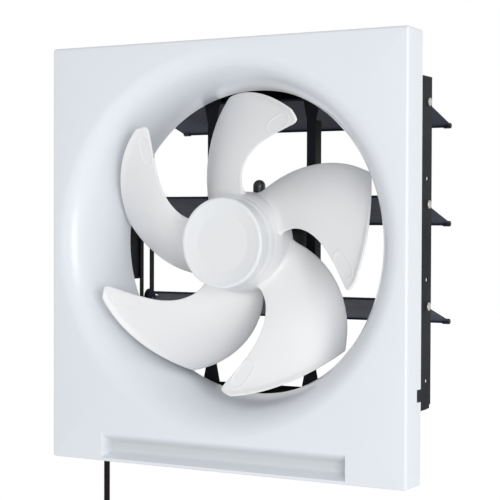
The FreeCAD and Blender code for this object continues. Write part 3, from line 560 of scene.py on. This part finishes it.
class FAN_OT_stage(bpy.types.Operator):
    """Lay the pale floor, set the light all round and place the tall lamp."""
    bl_idname = "fan.stage"
    bl_label = "Stage"

    FLOOR_REACH = 6.0
    FLOOR_TINT = (0.82, 0.82, 0.82, 1)
    FLOOR_ROUGHNESS = 0.9
    WHITE = (1, 1, 1, 1)

    def execute(self, context):
        stage = context.scene.fan_stage
        context.scene.view_settings.view_transform = "Standard"
        level = CAD_BOX[0].z - stage.floor_drop
        ends = (-self.FLOOR_REACH, self.FLOOR_REACH)
        floor_mesh = bpy.data.meshes.new("floor")
        floor_mesh.from_pydata([(x, y, level) for y in ends for x in ends], [], [(0, 1, 3, 2)])
        floor = linked("floor", floor_mesh)
        coat(floor_mesh, self.floor_material(stage))
        self.world(context, stage)
        self.lamp(stage)
        return {"FINISHED"}

    def seen_white(self, tree):
        """A value that is 1 for rays from the camera, off gloss and through glass."""
        path = tree.nodes.new("ShaderNodeLightPath")
        seen = path.outputs["Is Camera Ray"]
        for ray in ("Is Glossy Ray", "Is Transmission Ray"):
            seen = calculated(tree, "MAXIMUM", seen, path.outputs[ray])
        return seen

    def floor_material(self, stage):
        """Pale matt light table, which glows more to the eye, so that it looks white and keeps soft shadows."""
        made = bpy.data.materials.new("pale floor")
        made.use_nodes = True
        tree = made.node_tree
        shader = tree.nodes["Principled BSDF"]
        shader.inputs["Base Color"].default_value = self.FLOOR_TINT
        shader.inputs["Roughness"].default_value = self.FLOOR_ROUGHNESS
        shader.inputs["Emission Color"].default_value = self.WHITE
        glow = mapped(tree, self.seen_white(tree), 0.0, 1.0, stage.floor_glow, stage.floor_white)
        feed(tree, glow, shader.inputs["Emission Strength"])
        return made

    def world(self, context, stage):
        """Soft white light that grows towards one side, seen as white."""
        world = bpy.data.worlds.new("studio")
        context.scene.world = world
        world.use_nodes = True
        tree = world.node_tree
        back = tree.nodes["Background"]
        back.inputs["Color"].default_value = self.WHITE
        slant = tree.nodes.new("ShaderNodeVectorMath")
        slant.operation = "DOT_PRODUCT"
        feed(tree, tree.nodes.new("ShaderNodeTexCoord").outputs["Generated"], slant.inputs[0])
        slant.inputs[1].default_value = stage.sky_slant
        strength = calculated(tree, "ADD", slant.outputs["Value"], stage.sky)
        feed(tree, mapped(tree, self.seen_white(tree), 0.0, 1.0, strength, 1.0), back.inputs["Strength"])

    def lamp(self, stage):
        """A tall soft lamp that faces the fan."""
        data = bpy.data.lights.new("key lamp", "AREA")
        data.shape = "RECTANGLE"
        data.energy = stage.key
        data.size = stage.key_width
        data.size_y = stage.key_height
        lamp = linked("key lamp", data)
        lamp.location = stage.key_place
        lamp.rotation_euler = (-Vector(stage.key_place)).to_track_quat("-Z", "Y").to_euler()


class FAN_OT_cord(bpy.types.Operator):
    """Hang the power cord: a straight drop, a tied coil in two layers, and the run to the plug."""
    bl_idname = "fan.cord"
    bl_label = "Power cord"

    TURN_POINTS = 16
    HALF_TURNS_IN = 4
    HALF_TURNS_OUT = 3
    DROP_SHARES = (0.0, 0.3, 0.6, 0.9)
    TAIL_SHARES = (0.4, 0.7, 1.0)
    CURVE_ORDER, CURVE_STEPS, BEVEL_STEPS = 3, 8, 6

    def coil_points(self, cord):
        """The coil's control points: inward turns in one layer, then outward turns in the next."""
        half_pitch = cord.loop_pitch / 2
        outer = cord.coil_radius + self.HALF_TURNS_IN / 2 * half_pitch
        reaches = [outer - i * half_pitch for i in range(self.HALF_TURNS_IN + 1)]
        reaches += [reaches[-1] + i * half_pitch for i in range(self.HALF_TURNS_OUT + 1)]
        half_turns = len(reaches) - 1
        step_angle = 2 * math.pi / self.TURN_POINTS
        swell = 1 / math.cos(step_angle / 2)
        points = []
        for step in range(half_turns * self.TURN_POINTS // 2 + 1):
            turned = step / (self.TURN_POINTS / 2)
            i = min(int(turned), half_turns - 1)
            share = turned - i
            reach = (reaches[i] + share * (reaches[i + 1] - reaches[i])) * swell
            layer = min(max(turned - self.HALF_TURNS_IN, 0.0), 1.0)
            t = math.pi + step * step_angle
            points.append((cord.across + outer + reach * math.cos(t), cord.depth - layer * cord.layer_pitch,
                           cord.coil_height + reach * math.sin(t)))
        return points

    def execute(self, context):
        cord = context.scene.fan_cord
        drop = cord.top - cord.coil_height
        route = [(cord.across, cord.depth, cord.top - share * drop) for share in self.DROP_SHARES]
        coil = self.coil_points(cord)
        end = Vector(coil[-1])
        tail = [(end.x, end.y, end.z - share * cord.tail) for share in self.TAIL_SHARES]
        points = route + coil + tail
        curve = bpy.data.curves.new("power_cord", "CURVE")
        curve.dimensions = "3D"
        spline = curve.splines.new("NURBS")
        spline.points.add(len(points) - 1)
        for target, point in zip(spline.points, points):
            target.co = (*point, 1)
        spline.order_u = self.CURVE_ORDER
        spline.use_endpoint_u = True
        spline.resolution_u = self.CURVE_STEPS
        curve.bevel_depth = cord.diameter / 2
        curve.bevel_resolution = self.BEVEL_STEPS
        curve.use_fill_caps = True
        piece = linked("power_cord", curve)
        coat(curve, self.cord_finish(cord))
        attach(piece, "frame")
        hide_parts("power_cord_drop", "power_cord_coil")
        dress(self.cord_finish(cord), "plug_body")
        dress(rubber_finish(context), "cord_tie", "cord_gland")
        metal = context.scene.fan_metal
        dress(plated("pin brass", metal.brass, metal.zinc_dull, relief=(0.06, 0.0001)), "plug_pins")
        return {"FINISHED"}

    def cord_finish(self, cord):
        """Brown-black vinyl of the cord and plug."""
        return moulded("cord vinyl", cord.tint, (0.010, 0.0064, 0.0064), tone=40.0, grain=2400.0, gloss=(0.4, 0.52),
                       relief=(0.10, 0.0002), Specular_IOR_Level=0.1)


class FAN_OT_panel(bpy.types.Operator):
    """Mould the front panel: rolled bell mouth, rounded tray, finger scoop and rim notches."""
    bl_idname = "fan.panel"
    bl_label = "Front panel"

    SIDE_POINTS = 60
    CORNER_POINTS = 7
    LIP_STEPS = 28
    EDGE_STEPS = 6
    LEAST_CORNER_SHARE = 0.2
    BEAD_SHARE = 0.2
    SCOOP_STEPS = 32
    SCOOP_UPPER_SHARE = 0.48
    SCOOP_LOWER_SHARE = 0.26
    CUT_OVERRUN = 0.004
    NOTCH_REACH = 0.006
    NOTCH_FRONT = -0.010
    NOTCH_LEVELS = (-0.1465, -0.1345)
    SLOT_SIDES = (-0.15305, -0.14355)
    SLOT_FRONT = -0.014
    SLOT_RISE = 0.0066
    SHARP_DEGREES = 28

    def outline(self, low, high, inset, corner):
        """A rounded rectangle in X and Z, inset from the panel's box, always with the same count of points."""
        x0, z0, x1, z1 = low.x + inset, low.z + inset, high.x - inset, high.z - inset
        radius = max(corner - inset, corner * self.LEAST_CORNER_SHARE)
        centres = [(x1 - radius, z1 - radius, 0), (x0 + radius, z1 - radius, 90),
                   (x0 + radius, z0 + radius, 180), (x1 - radius, z0 + radius, 270)]
        arcs = []
        for cx, cz, start in centres:
            turns = [math.radians(start + 90 * i / (self.CORNER_POINTS - 1)) for i in range(self.CORNER_POINTS)]
            arcs.append([(cx + radius * math.cos(t), cz + radius * math.sin(t)) for t in turns])
        points = []
        for arc, next_arc in zip(arcs, arcs[1:] + arcs[:1]):
            begin, end = Vector(arc[-1]), Vector(next_arc[0])
            points += arc + [tuple(begin.lerp(end, i / self.SIDE_POINTS)) for i in range(1, self.SIDE_POINTS)]
        return points

    def rings(self, size, low, high):
        """Rings of the whole moulding: in at the throat, over the lip and face, round the rim and back."""
        front = low.y
        border = self.outline(low, high, 0, size.corner)
        turns = [math.atan2(z, x) for x, z in border]

        def circle(radius, y):
            return [(radius * math.cos(t), y, radius * math.sin(t)) for t in turns]

        def square(inset, y):
            return [(x, y, z) for x, z in self.outline(low, high, inset, size.corner)]

        def lip(wall, steps):
            roll = size.bell_outer - size.throat - wall
            depth = size.bell_depth - wall
            end = front + size.bell_depth
            return [circle(size.bell_outer - roll * math.sin(t), end - depth * math.cos(t)) for t in steps]

        quarter = [math.pi / 2 * i / self.LIP_STEPS for i in range(self.LIP_STEPS + 1)]
        rear = front + size.bell_depth + size.throat_straight
        bead = size.wall * self.BEAD_SHARE
        rings = [circle(size.throat, rear - bead)] + lip(0, reversed(quarter))
        for i in range(self.EDGE_STEPS + 1):
            t = math.pi / 2 * i / self.EDGE_STEPS
            rings.append(square(size.edge * (1 - math.sin(t)), front + size.edge * (1 - math.cos(t))))
        rings += [square(0, high.y - bead), square(bead, high.y), square(size.wall - bead, high.y),
                  square(size.wall, high.y - bead), square(size.wall, front + size.wall)]
        rings += lip(size.wall, quarter)
        rings += [circle(size.throat + size.wall, rear - bead), circle(size.throat + size.wall - bead, rear),
                  circle(size.throat + bead, rear)]
        return rings

    def scoop(self, size, low):
        """The scoop's cutter: a bowl with a soft upper edge, a firmer foot and steep ends."""
        front = low.y
        foot = low.z + size.scoop_foot
        reach = size.scoop_width / 2
        points = []
        for i in range(self.SCOOP_STEPS + 1):
            rise = i / self.SCOOP_STEPS
            upper = min(1.0, (1 - rise) / self.SCOOP_UPPER_SHARE)
            lower = min(1.0, rise / self.SCOOP_LOWER_SHARE)
            sink = size.scoop_depth * upper ** 2 * (3 - 2 * upper) * math.sin(math.pi / 2 * lower)
            end = reach - size.scoop_bevel * sink / size.scoop_depth
            points += [(x, front + sink, foot + rise * size.scoop_height) for x in (-end, end)]
        top = len(points)
        levels = (foot, foot + size.scoop_height)
        points += [(x, front - self.CUT_OVERRUN, z) for z in levels for x in (-reach, reach)]
        left, right = tuple(range(0, top, 2)), tuple(range(1, top, 2))
        faces = [(i, i + 1, i + 3, i + 2) for i in left[:-1]]
        faces += [left, right, (left[0], left[-1], top + 2, top), (right[0], right[-1], top + 3, top + 1)]
        faces += [(top, top + 1, top + 3, top + 2), (left[0], right[0], top + 1, top),
                  (left[-1], right[-1], top + 3, top + 2)]
        return points, faces

    def notches(self, low, high):
        """Cutters of the two finger notches in the side walls and of the cord's slot in the lower wall."""
        bottom, top = self.NOTCH_LEVELS
        left, right = self.SLOT_SIDES
        reach = self.NOTCH_REACH
        made = [box_part((x - reach, self.NOTCH_FRONT, bottom), (x + reach, self.CUT_OVERRUN, top))
                for x in (low.x, high.x)]
        made.append(box_part((left, self.SLOT_FRONT, low.z - self.CUT_OVERRUN),
                             (right, self.CUT_OVERRUN, low.z + self.SLOT_RISE)))
        return made

    def execute(self, context):
        size = context.scene.fan_panel
        low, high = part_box("front_panel")
        mesh = mesh_of("front_panel_moulding", *skin(self.rings(size, low, high), True))
        material = panel_finish(context)
        piece = new_piece("front_panel_moulding", mesh, material, "panel")
        reach = size.scoop_width / 2 + size.wall
        back = low.y + size.scoop_depth + size.wall
        backing = box_part((-reach, low.y + size.wall / 2, low.z + size.wall / 2),
                           (reach, back, low.z + size.scoop_foot + size.scoop_height + size.wall))
        cutters = joined([self.scoop(size, low), *self.notches(low, high)])
        apply_boolean(piece, mesh_of("backing", *backing), "UNION")
        apply_boolean(piece, mesh_of("cutters", *cutters), "DIFFERENCE")
        tidy_mesh(piece.data, self.SHARP_DEGREES)
        coat(piece.data, material)
        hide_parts("front_panel", "bell_mouth")
        return {"FINISHED"}


class FAN_OT_propeller(bpy.types.Operator):
    """Mould the propeller: a stepped hub and swept blades with round edges and embossed pads."""
    bl_idname = "fan.propeller"
    bl_label = "Propeller"

    COARSE_ROWS = 32
    FINE_ROWS = 56
    FINE_SPAN_SHARE = 0.6
    FINE_COLUMNS = 40
    FINE_CHORD_SHARE = 0.3
    COARSE_COLUMNS = 26
    CAP_STEPS = 5
    TIP_STEPS = 4
    TIP_SPARE = 0.4
    ROW_CROWDING = 1.6
    ROOT_SUNK_SHARE = 0.012
    ROOT_FLARE = 0.0042
    FLARE_SPAN_SHARE = 0.085
    FLARE_POWER = 2.4
    EDGE_MARGIN_SHARE = 0.012
    SLOPE_STEP = 0.004
    PAD_SQUARENESS = 2.6
    PAD_BEAD_WIDTH = 0.085
    PAD_FLOOR_DEPTH, PAD_FLOOR_EDGE, PAD_FLOOR_BLEND = 0.35, 0.95, 0.03
    SHARP_DEGREES = 40

    # The hub's corners: radius, distance behind the front or the rear, and share of the rounding
    HUB_STEPS = ((0.0041, 0.0, 0), (0.0444, 0.0, 0.6), (0.0450, 0.0034, 0.8), (0.0456, 0.0044, 1),
                 (0.0468, 0.0108, 0.8), (0.0474, 0.0118, 1), (0.0498, 0.0204, 0.8))
    HUB_REAR = ((0.0515, -0.0006, 0.4), (0.0511, 0.0, 0.2), (0.0485, 0.0, 0.2))
    HUB_CUP = ((0.0468, 0.0204, 0.3), (0.0425, 0.003, 1))
    HUB_BOSS = ((0.011, 0.003, 1), (0.011, 0.029, 0.3), (0.0041, 0.029, 0.2))
    HUB_ROUNDING, HUB_ROUND_STEPS, HUB_SEGMENTS = 0.0016, 4, 144

    def station(self, values, span):
        """A value at a share of the span, on a smooth curve through the stations."""
        last = len(SPAN_SHARES) - 1
        i = 0
        while i < last - 1 and span > SPAN_SHARES[i + 1]:
            i += 1

        def slope(k):
            a, b = max(k - 1, 0), min(k + 1, last)
            return (values[b] - values[a]) / (SPAN_SHARES[b] - SPAN_SHARES[a])

        gap = SPAN_SHARES[i + 1] - SPAN_SHARES[i]
        t = (span - SPAN_SHARES[i]) / gap
        first = (1 + 2 * t) * (1 - t) ** 2 * values[i] + t * (1 - t) ** 2 * gap * slope(i)
        second = t * t * (3 - 2 * t) * values[i + 1] + t * t * (t - 1) * gap * slope(i + 1)
        return first + second

    def middle(self, size, span, chord):
        """A point of the blade's middle surface."""
        lead = self.station(LEAD_TURN_SHARES, span)
        trail = self.station(TRAIL_TURN_SHARES, span)
        front = self.station(LEAD_DEPTH_SHARES, span)
        rear = self.station(TRAIL_DEPTH_SHARES, span)
        bow = LEAD_SLOPE_SHARE * chord + (1 - LEAD_SLOPE_SHARE) * chord ** 2
        radius = size.root + span * (size.radius - size.root)
        turn = size.first + (lead + chord * (trail - lead)) * 2 * math.pi / size.blades
        return Vector((radius * math.cos(turn), size.front + (front + bow * (rear - front)) * size.depth,
                       radius * math.sin(turn)))

    def square_to(self, size, span, chord):
        """The forward direction square to the middle surface, and the direction along the chord."""
        step = self.SLOPE_STEP
        along = self.middle(size, span + step, chord) - self.middle(size, span - step, chord)
        across = self.middle(size, span, chord + step) - self.middle(size, span, chord - step)
        normal = along.cross(across).normalized()
        return (normal if normal.y < 0 else -normal), across.normalized()

    def pad_height(self, size, point):
        """Height of the embossed pad's outline at a point of the blade's front."""
        middle_x = size.pad_reach * math.cos(size.pad_turn)
        middle_z = size.pad_reach * math.sin(size.pad_turn)
        x, z = point.x - middle_x, point.z - middle_z
        along = (x * math.cos(size.pad_lean) + z * math.sin(size.pad_lean)) / size.pad_long
        across = (z * math.cos(size.pad_lean) - x * math.sin(size.pad_lean)) / size.pad_short
        power = self.PAD_SQUARENESS
        ring = (abs(along) ** power + abs(across) ** power) ** (1 / power)
        bead = math.exp(-((ring - 1) / self.PAD_BEAD_WIDTH) ** 2)
        floor = self.PAD_FLOOR_DEPTH / (1 + math.exp((ring - self.PAD_FLOOR_EDGE) / self.PAD_FLOOR_BLEND))
        return size.pad_rise * (bead - floor)

    def section(self, size, span, half):
        """One closed section of the blade at a share of the span."""
        margin = self.EDGE_MARGIN_SHARE
        chords = [self.FINE_CHORD_SHARE * i / self.FINE_COLUMNS for i in range(self.FINE_COLUMNS)]
        rest = 1 - self.FINE_CHORD_SHARE
        chords += [self.FINE_CHORD_SHARE + rest * i / self.COARSE_COLUMNS for i in range(self.COARSE_COLUMNS + 1)]
        chords = [margin + c * (1 - 2 * margin) for c in chords]
        front, back = [], []
        for c in chords:
            here = self.middle(size, span, c)
            normal = self.square_to(size, span, c)[0]
            front.append(here + normal * (half + self.pad_height(size, here) * min(1, half / size.thickness * 2)))
            back.append(here - normal * half)
        caps = []
        for c, way in ((chords[-1], 1), (chords[0], -1)):
            here = self.middle(size, span, c)
            normal, along = self.square_to(size, span, c)
            cap = []
            for i in range(1, self.CAP_STEPS):
                t = math.pi * i / self.CAP_STEPS
                cap.append(here + normal * (half * math.cos(t)) + along * (way * half * math.sin(t)))
            caps.append(cap)
        return front, caps[0], back, caps[1]

    def blade(self, size):
        """Points and faces of one blade, closed at its root and tip."""
        half = size.thickness / 2
        edge = half / (size.radius - size.root)
        sunk = self.ROOT_SUNK_SHARE
        coarse = self.FINE_SPAN_SHARE + sunk
        spans = [coarse * (i / self.COARSE_ROWS) ** self.ROW_CROWDING - sunk for i in range(self.COARSE_ROWS)]
        rest = 1 - edge - self.FINE_SPAN_SHARE
        spans += [self.FINE_SPAN_SHARE + rest * i / self.FINE_ROWS for i in range(self.FINE_ROWS + 1)]
        flares = [max(0.0, 1 - max(span, 0) / self.FLARE_SPAN_SHARE) ** self.FLARE_POWER for span in spans]
        rows = [(span, half + self.ROOT_FLARE * flare) for span, flare in zip(spans, flares)]
        for i in range(1, self.TIP_STEPS + 1):
            t = math.pi / 2 * i / (self.TIP_STEPS + self.TIP_SPARE)
            rows.append((1 - edge + edge * math.sin(t), half * math.cos(t)))
        rings = []
        for span, thick in rows:
            front, trail, back, lead = self.section(size, span, thick)
            rings.append(front + trail + back[::-1] + lead[::-1])
        columns = len(front)
        cap = len(trail)
        points, faces = skin(rings, False)
        for start in (0, len(points) - len(rings[-1])):
            for i in range(columns - 1):
                mirror = start + 2 * columns + cap - 1 - i
                faces.append((start + i, start + i + 1, mirror - 1, mirror))
            faces.append(tuple(range(start + columns - 1, start + columns + cap + 1)))
            faces.append(tuple([start + 2 * columns + cap - 1 + i for i in range(cap + 1)] + [start]))
        return points, faces

    def hub(self):
        """The stepped hub: a cup with a front wall, a boss and small shoulders outside."""
        low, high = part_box("propeller_hub")
        runs = ((low.y, self.HUB_STEPS), (high.y, self.HUB_REAR), (low.y, self.HUB_CUP + self.HUB_BOSS))
        return turned_profile(runs, self.HUB_ROUNDING, self.HUB_ROUND_STEPS)

    def execute(self, context):
        size = context.scene.fan_propeller
        blade_points, blade_faces = self.blade(size)
        parts = [lathe(self.hub(), self.HUB_SEGMENTS, True)]
        for i in range(size.blades):
            turn = Matrix.Rotation(2 * math.pi * i / size.blades, 3, "Y")
            parts.append(([tuple(turn @ point) for point in blade_points], blade_faces))
        mesh = mesh_of("propeller_moulding", *joined(parts), self.SHARP_DEGREES)
        plastic = moulded("blade plastic", size.tint, size.shade, tone=8.0, grain=1800.0, gloss=(0.34, 0.38),
                          relief=(0.03, 0.0002))
        piece = new_piece("propeller_moulding", mesh, plastic, "fan")
        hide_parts("propeller_hub", "propeller_blades")
        return {"FINISHED"}


class FAN_OT_spinner(bpy.types.Operator):
    """Mould the spinner nut: a dished cap with a fine bead round its rim."""
    bl_idname = "fan.spinner"
    bl_label = "Spinner nut"

    # The cap's corners: radius, distance behind the front or the rear, and share of the rounding
    FACE = ((0.0, 0.0032, 0), (0.0280, 0.0030, 0.8), (0.0398, 0.0007, 0.8), (0.0416, 0.0, 0.7), (0.0438, 0.0, 0.8))
    THREAD = ((0.009, 0.0, 0.2), (0.004, 0.0, 0.2), (0.004, -0.009, 0.2), (0.0, -0.009, 0))
    RIM_SETBACK, RIM_WALL, FACE_DEPTH, BOSS_RADIUS = 0.0016, 0.0022, 0.0056, 0.009
    ROUNDING, ROUND_STEPS, SEGMENTS, SHARP_DEGREES = 0.0014, 5, 160, 40

    def execute(self, context):
        size = context.scene.fan_propeller
        low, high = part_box("spinner_nut")
        rim, inside = high.x, high.x - self.RIM_WALL
        runs = ((low.y, (*self.FACE, (rim, self.RIM_SETBACK, 1))), (high.y, ((rim, 0.0, 0.2), (inside, 0.0, 0.2))),
                (low.y, ((inside, self.FACE_DEPTH, 1), (self.BOSS_RADIUS, self.FACE_DEPTH, 1))), (high.y, self.THREAD))
        profile = turned_profile(runs, self.ROUNDING, self.ROUND_STEPS)
        mesh = mesh_of("spinner_cap", *lathe(profile, self.SEGMENTS, False), self.SHARP_DEGREES)
        plastic = moulded("spinner plastic", size.spinner_tint, size.shade, tone=12.0, grain=1800.0,
                          gloss=(0.32, 0.42), relief=(0.05, 0.0002))
        piece = new_piece("spinner_cap", mesh, plastic, "fan")
        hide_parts("spinner_nut")
        return {"FINISHED"}


class FAN_OT_sheet_frame(bpy.types.Operator):
    """Paint the sheet frame, the flange and the motor stays."""
    bl_idname = "fan.sheet_frame"
    bl_label = "Sheet frame"

    def execute(self, context):
        dress(frame_finish(context), "frame_top", "frame_floor", "frame_left_side", "frame_right_side",
              "wall_flange", "motor_stay_left", "motor_stay_right")
        return {"FINISHED"}


class FAN_OT_shutter(bpy.types.Operator):
    """Paint the louvres and their link, and finish the rubber beads."""
    bl_idname = "fan.shutter"
    bl_label = "Shutter"

    def execute(self, context):
        metal = context.scene.fan_metal
        slate = finish("louvre paint", "Sheet paint",
                       {"Colour": metal.louvre_paint, "Worn": metal.worn_paint, "Peel Scale": 360.0, "Wear": 0.2,
                        "Smooth": 0.46, "Rough": 0.6}, (0.10, 0.0003), Specular_IOR_Level=0.05,
                       Specular_Tint=(0.80, 0.88, 1.0, 1))
        dress(slate, "louvre_top", "louvre_middle", "louvre_bottom")
        dress(frame_finish(context), "shutter_link")
        dress(rubber_finish(context), "louvre_top_buffers", "louvre_middle_buffers", "louvre_bottom_buffers")
        return {"FINISHED"}


class FAN_OT_motor(bpy.types.Operator):
    """Finish the motor: painted case, laminated core, copper winding, rotor and bushes."""
    bl_idname = "fan.motor"
    bl_label = "Motor"

    def execute(self, context):
        metal = context.scene.fan_metal
        case = finish("motor paint", "Sheet paint", {"Colour": metal.motor_paint, "Worn": metal.worn_paint},
                      (0.1, 0.0003))
        dress(case, "motor_front_shell", "motor_rear_shell")
        bush = moulded("bush rubber", (0.03, 0.03, 0.031), (0.06, 0.06, 0.062), tone=80.0, grain=2600.0,
                       gloss=(0.28, 0.34), relief=(0.10, 0.0002), Specular_IOR_Level=0.7)
        dress(bush, "motor_bushes", "lead_bush")
        core = plated("core steel", (0.30, 0.30, 0.31), (0.16, 0.16, 0.17), relief=(0.2, 0.0002), lines=2400.0)
        dress(core, "stator_core")
        wire = plated("winding copper", metal.copper, (0.30, 0.12, 0.05), relief=(0.3, 0.0003), lines=1400.0)
        dress(wire, "stator_winding")
        dress(plated("rotor aluminium", (0.72, 0.72, 0.73), (0.5, 0.5, 0.51), relief=(0.1, 0.0002)), "rotor_core")
        return {"FINISHED"}


class FAN_OT_hardware(bpy.types.Operator):
    """Finish pins, screws, shaft, bearings, clips and rivets in zinc."""
    bl_idname = "fan.hardware"
    bl_label = "Hardware"

    def execute(self, context):
        metal = context.scene.fan_metal
        zinc = plated("zinc plate", metal.zinc, metal.zinc_dull, relief=(0.08, 0.0001))
        dress(zinc, "motor_shaft", "drive_pin", "front_bearing", "rear_bearing", "motor_screws", "stay_screws",
              "pivot_pins_left", "pivot_pins_right", "link_rivets", "panel_clips")
        return {"FINISHED"}


class FAN_OT_wiring(bpy.types.Operator):
    """Finish the terminal box, its cover, the terminal block and the run capacitor."""
    bl_idname = "fan.wiring"
    bl_label = "Wiring box"

    def execute(self, context):
        box = moulded("box plastic", (0.022, 0.022, 0.024), (0.032, 0.032, 0.034), tone=30.0, grain=1600.0,
                      gloss=(0.45, 0.6), relief=(0.2, 0.0002))
        dress(box, "terminal_box", "terminal_box_cover", "run_capacitor")
        block = moulded("block plastic", (0.66, 0.63, 0.55), (0.6, 0.57, 0.5), tone=30.0, grain=1600.0,
                        gloss=(0.4, 0.55), relief=(0.1, 0.0002))
        dress(block, "terminal_block")
        return {"FINISHED"}


GROUPS = (("fan_camera", FAN_PG_camera), ("fan_panel", FAN_PG_panel), ("fan_propeller", FAN_PG_propeller),
          ("fan_metal", FAN_PG_metal), ("fan_cord", FAN_PG_cord), ("fan_stage", FAN_PG_stage))
OPERATORS = (FAN_OT_camera, FAN_OT_cord, FAN_OT_panel, FAN_OT_propeller, FAN_OT_spinner, FAN_OT_sheet_frame,
             FAN_OT_shutter, FAN_OT_motor, FAN_OT_hardware, FAN_OT_wiring, FAN_OT_stage)


class FAN_PT_sidebar(bpy.types.Panel):
    """Lists the fan's pieces and their sizes."""
    bl_idname = "FAN_PT_sidebar"
    bl_label = "Wall exhaust fan"
    bl_space_type = "VIEW_3D"
    bl_region_type = "UI"
    bl_category = "Fan"

    def draw(self, context):
        for name, group in GROUPS:
            area = self.layout.box()
            area.label(text=group.__doc__)
            for key in group.__annotations__:
                area.prop(getattr(context.scene, name), key)
        for operator in OPERATORS:
            self.layout.operator(operator.bl_idname)


def register():
    """Register the properties, operators and panel."""
    for name, group in GROUPS:
        bpy.utils.register_class(group)
        setattr(bpy.types.Scene, name, PointerProperty(type=group))
    for made in (*OPERATORS, FAN_PT_sidebar):
        bpy.utils.register_class(made)


def unregister():
    """Take everything that register added away again."""
    for made in reversed((*OPERATORS, FAN_PT_sidebar)):
        bpy.utils.unregister_class(made)
    for name, group in reversed(GROUPS):
        delattr(bpy.types.Scene, name)
        bpy.utils.unregister_class(group)


def main():
    """Build the dressed fan."""
    register()
    for operator in OPERATORS:
        family, name = operator.bl_idname.split(".")
        getattr(getattr(bpy.ops, family), name)()


if __name__ == "__main__":
    main()
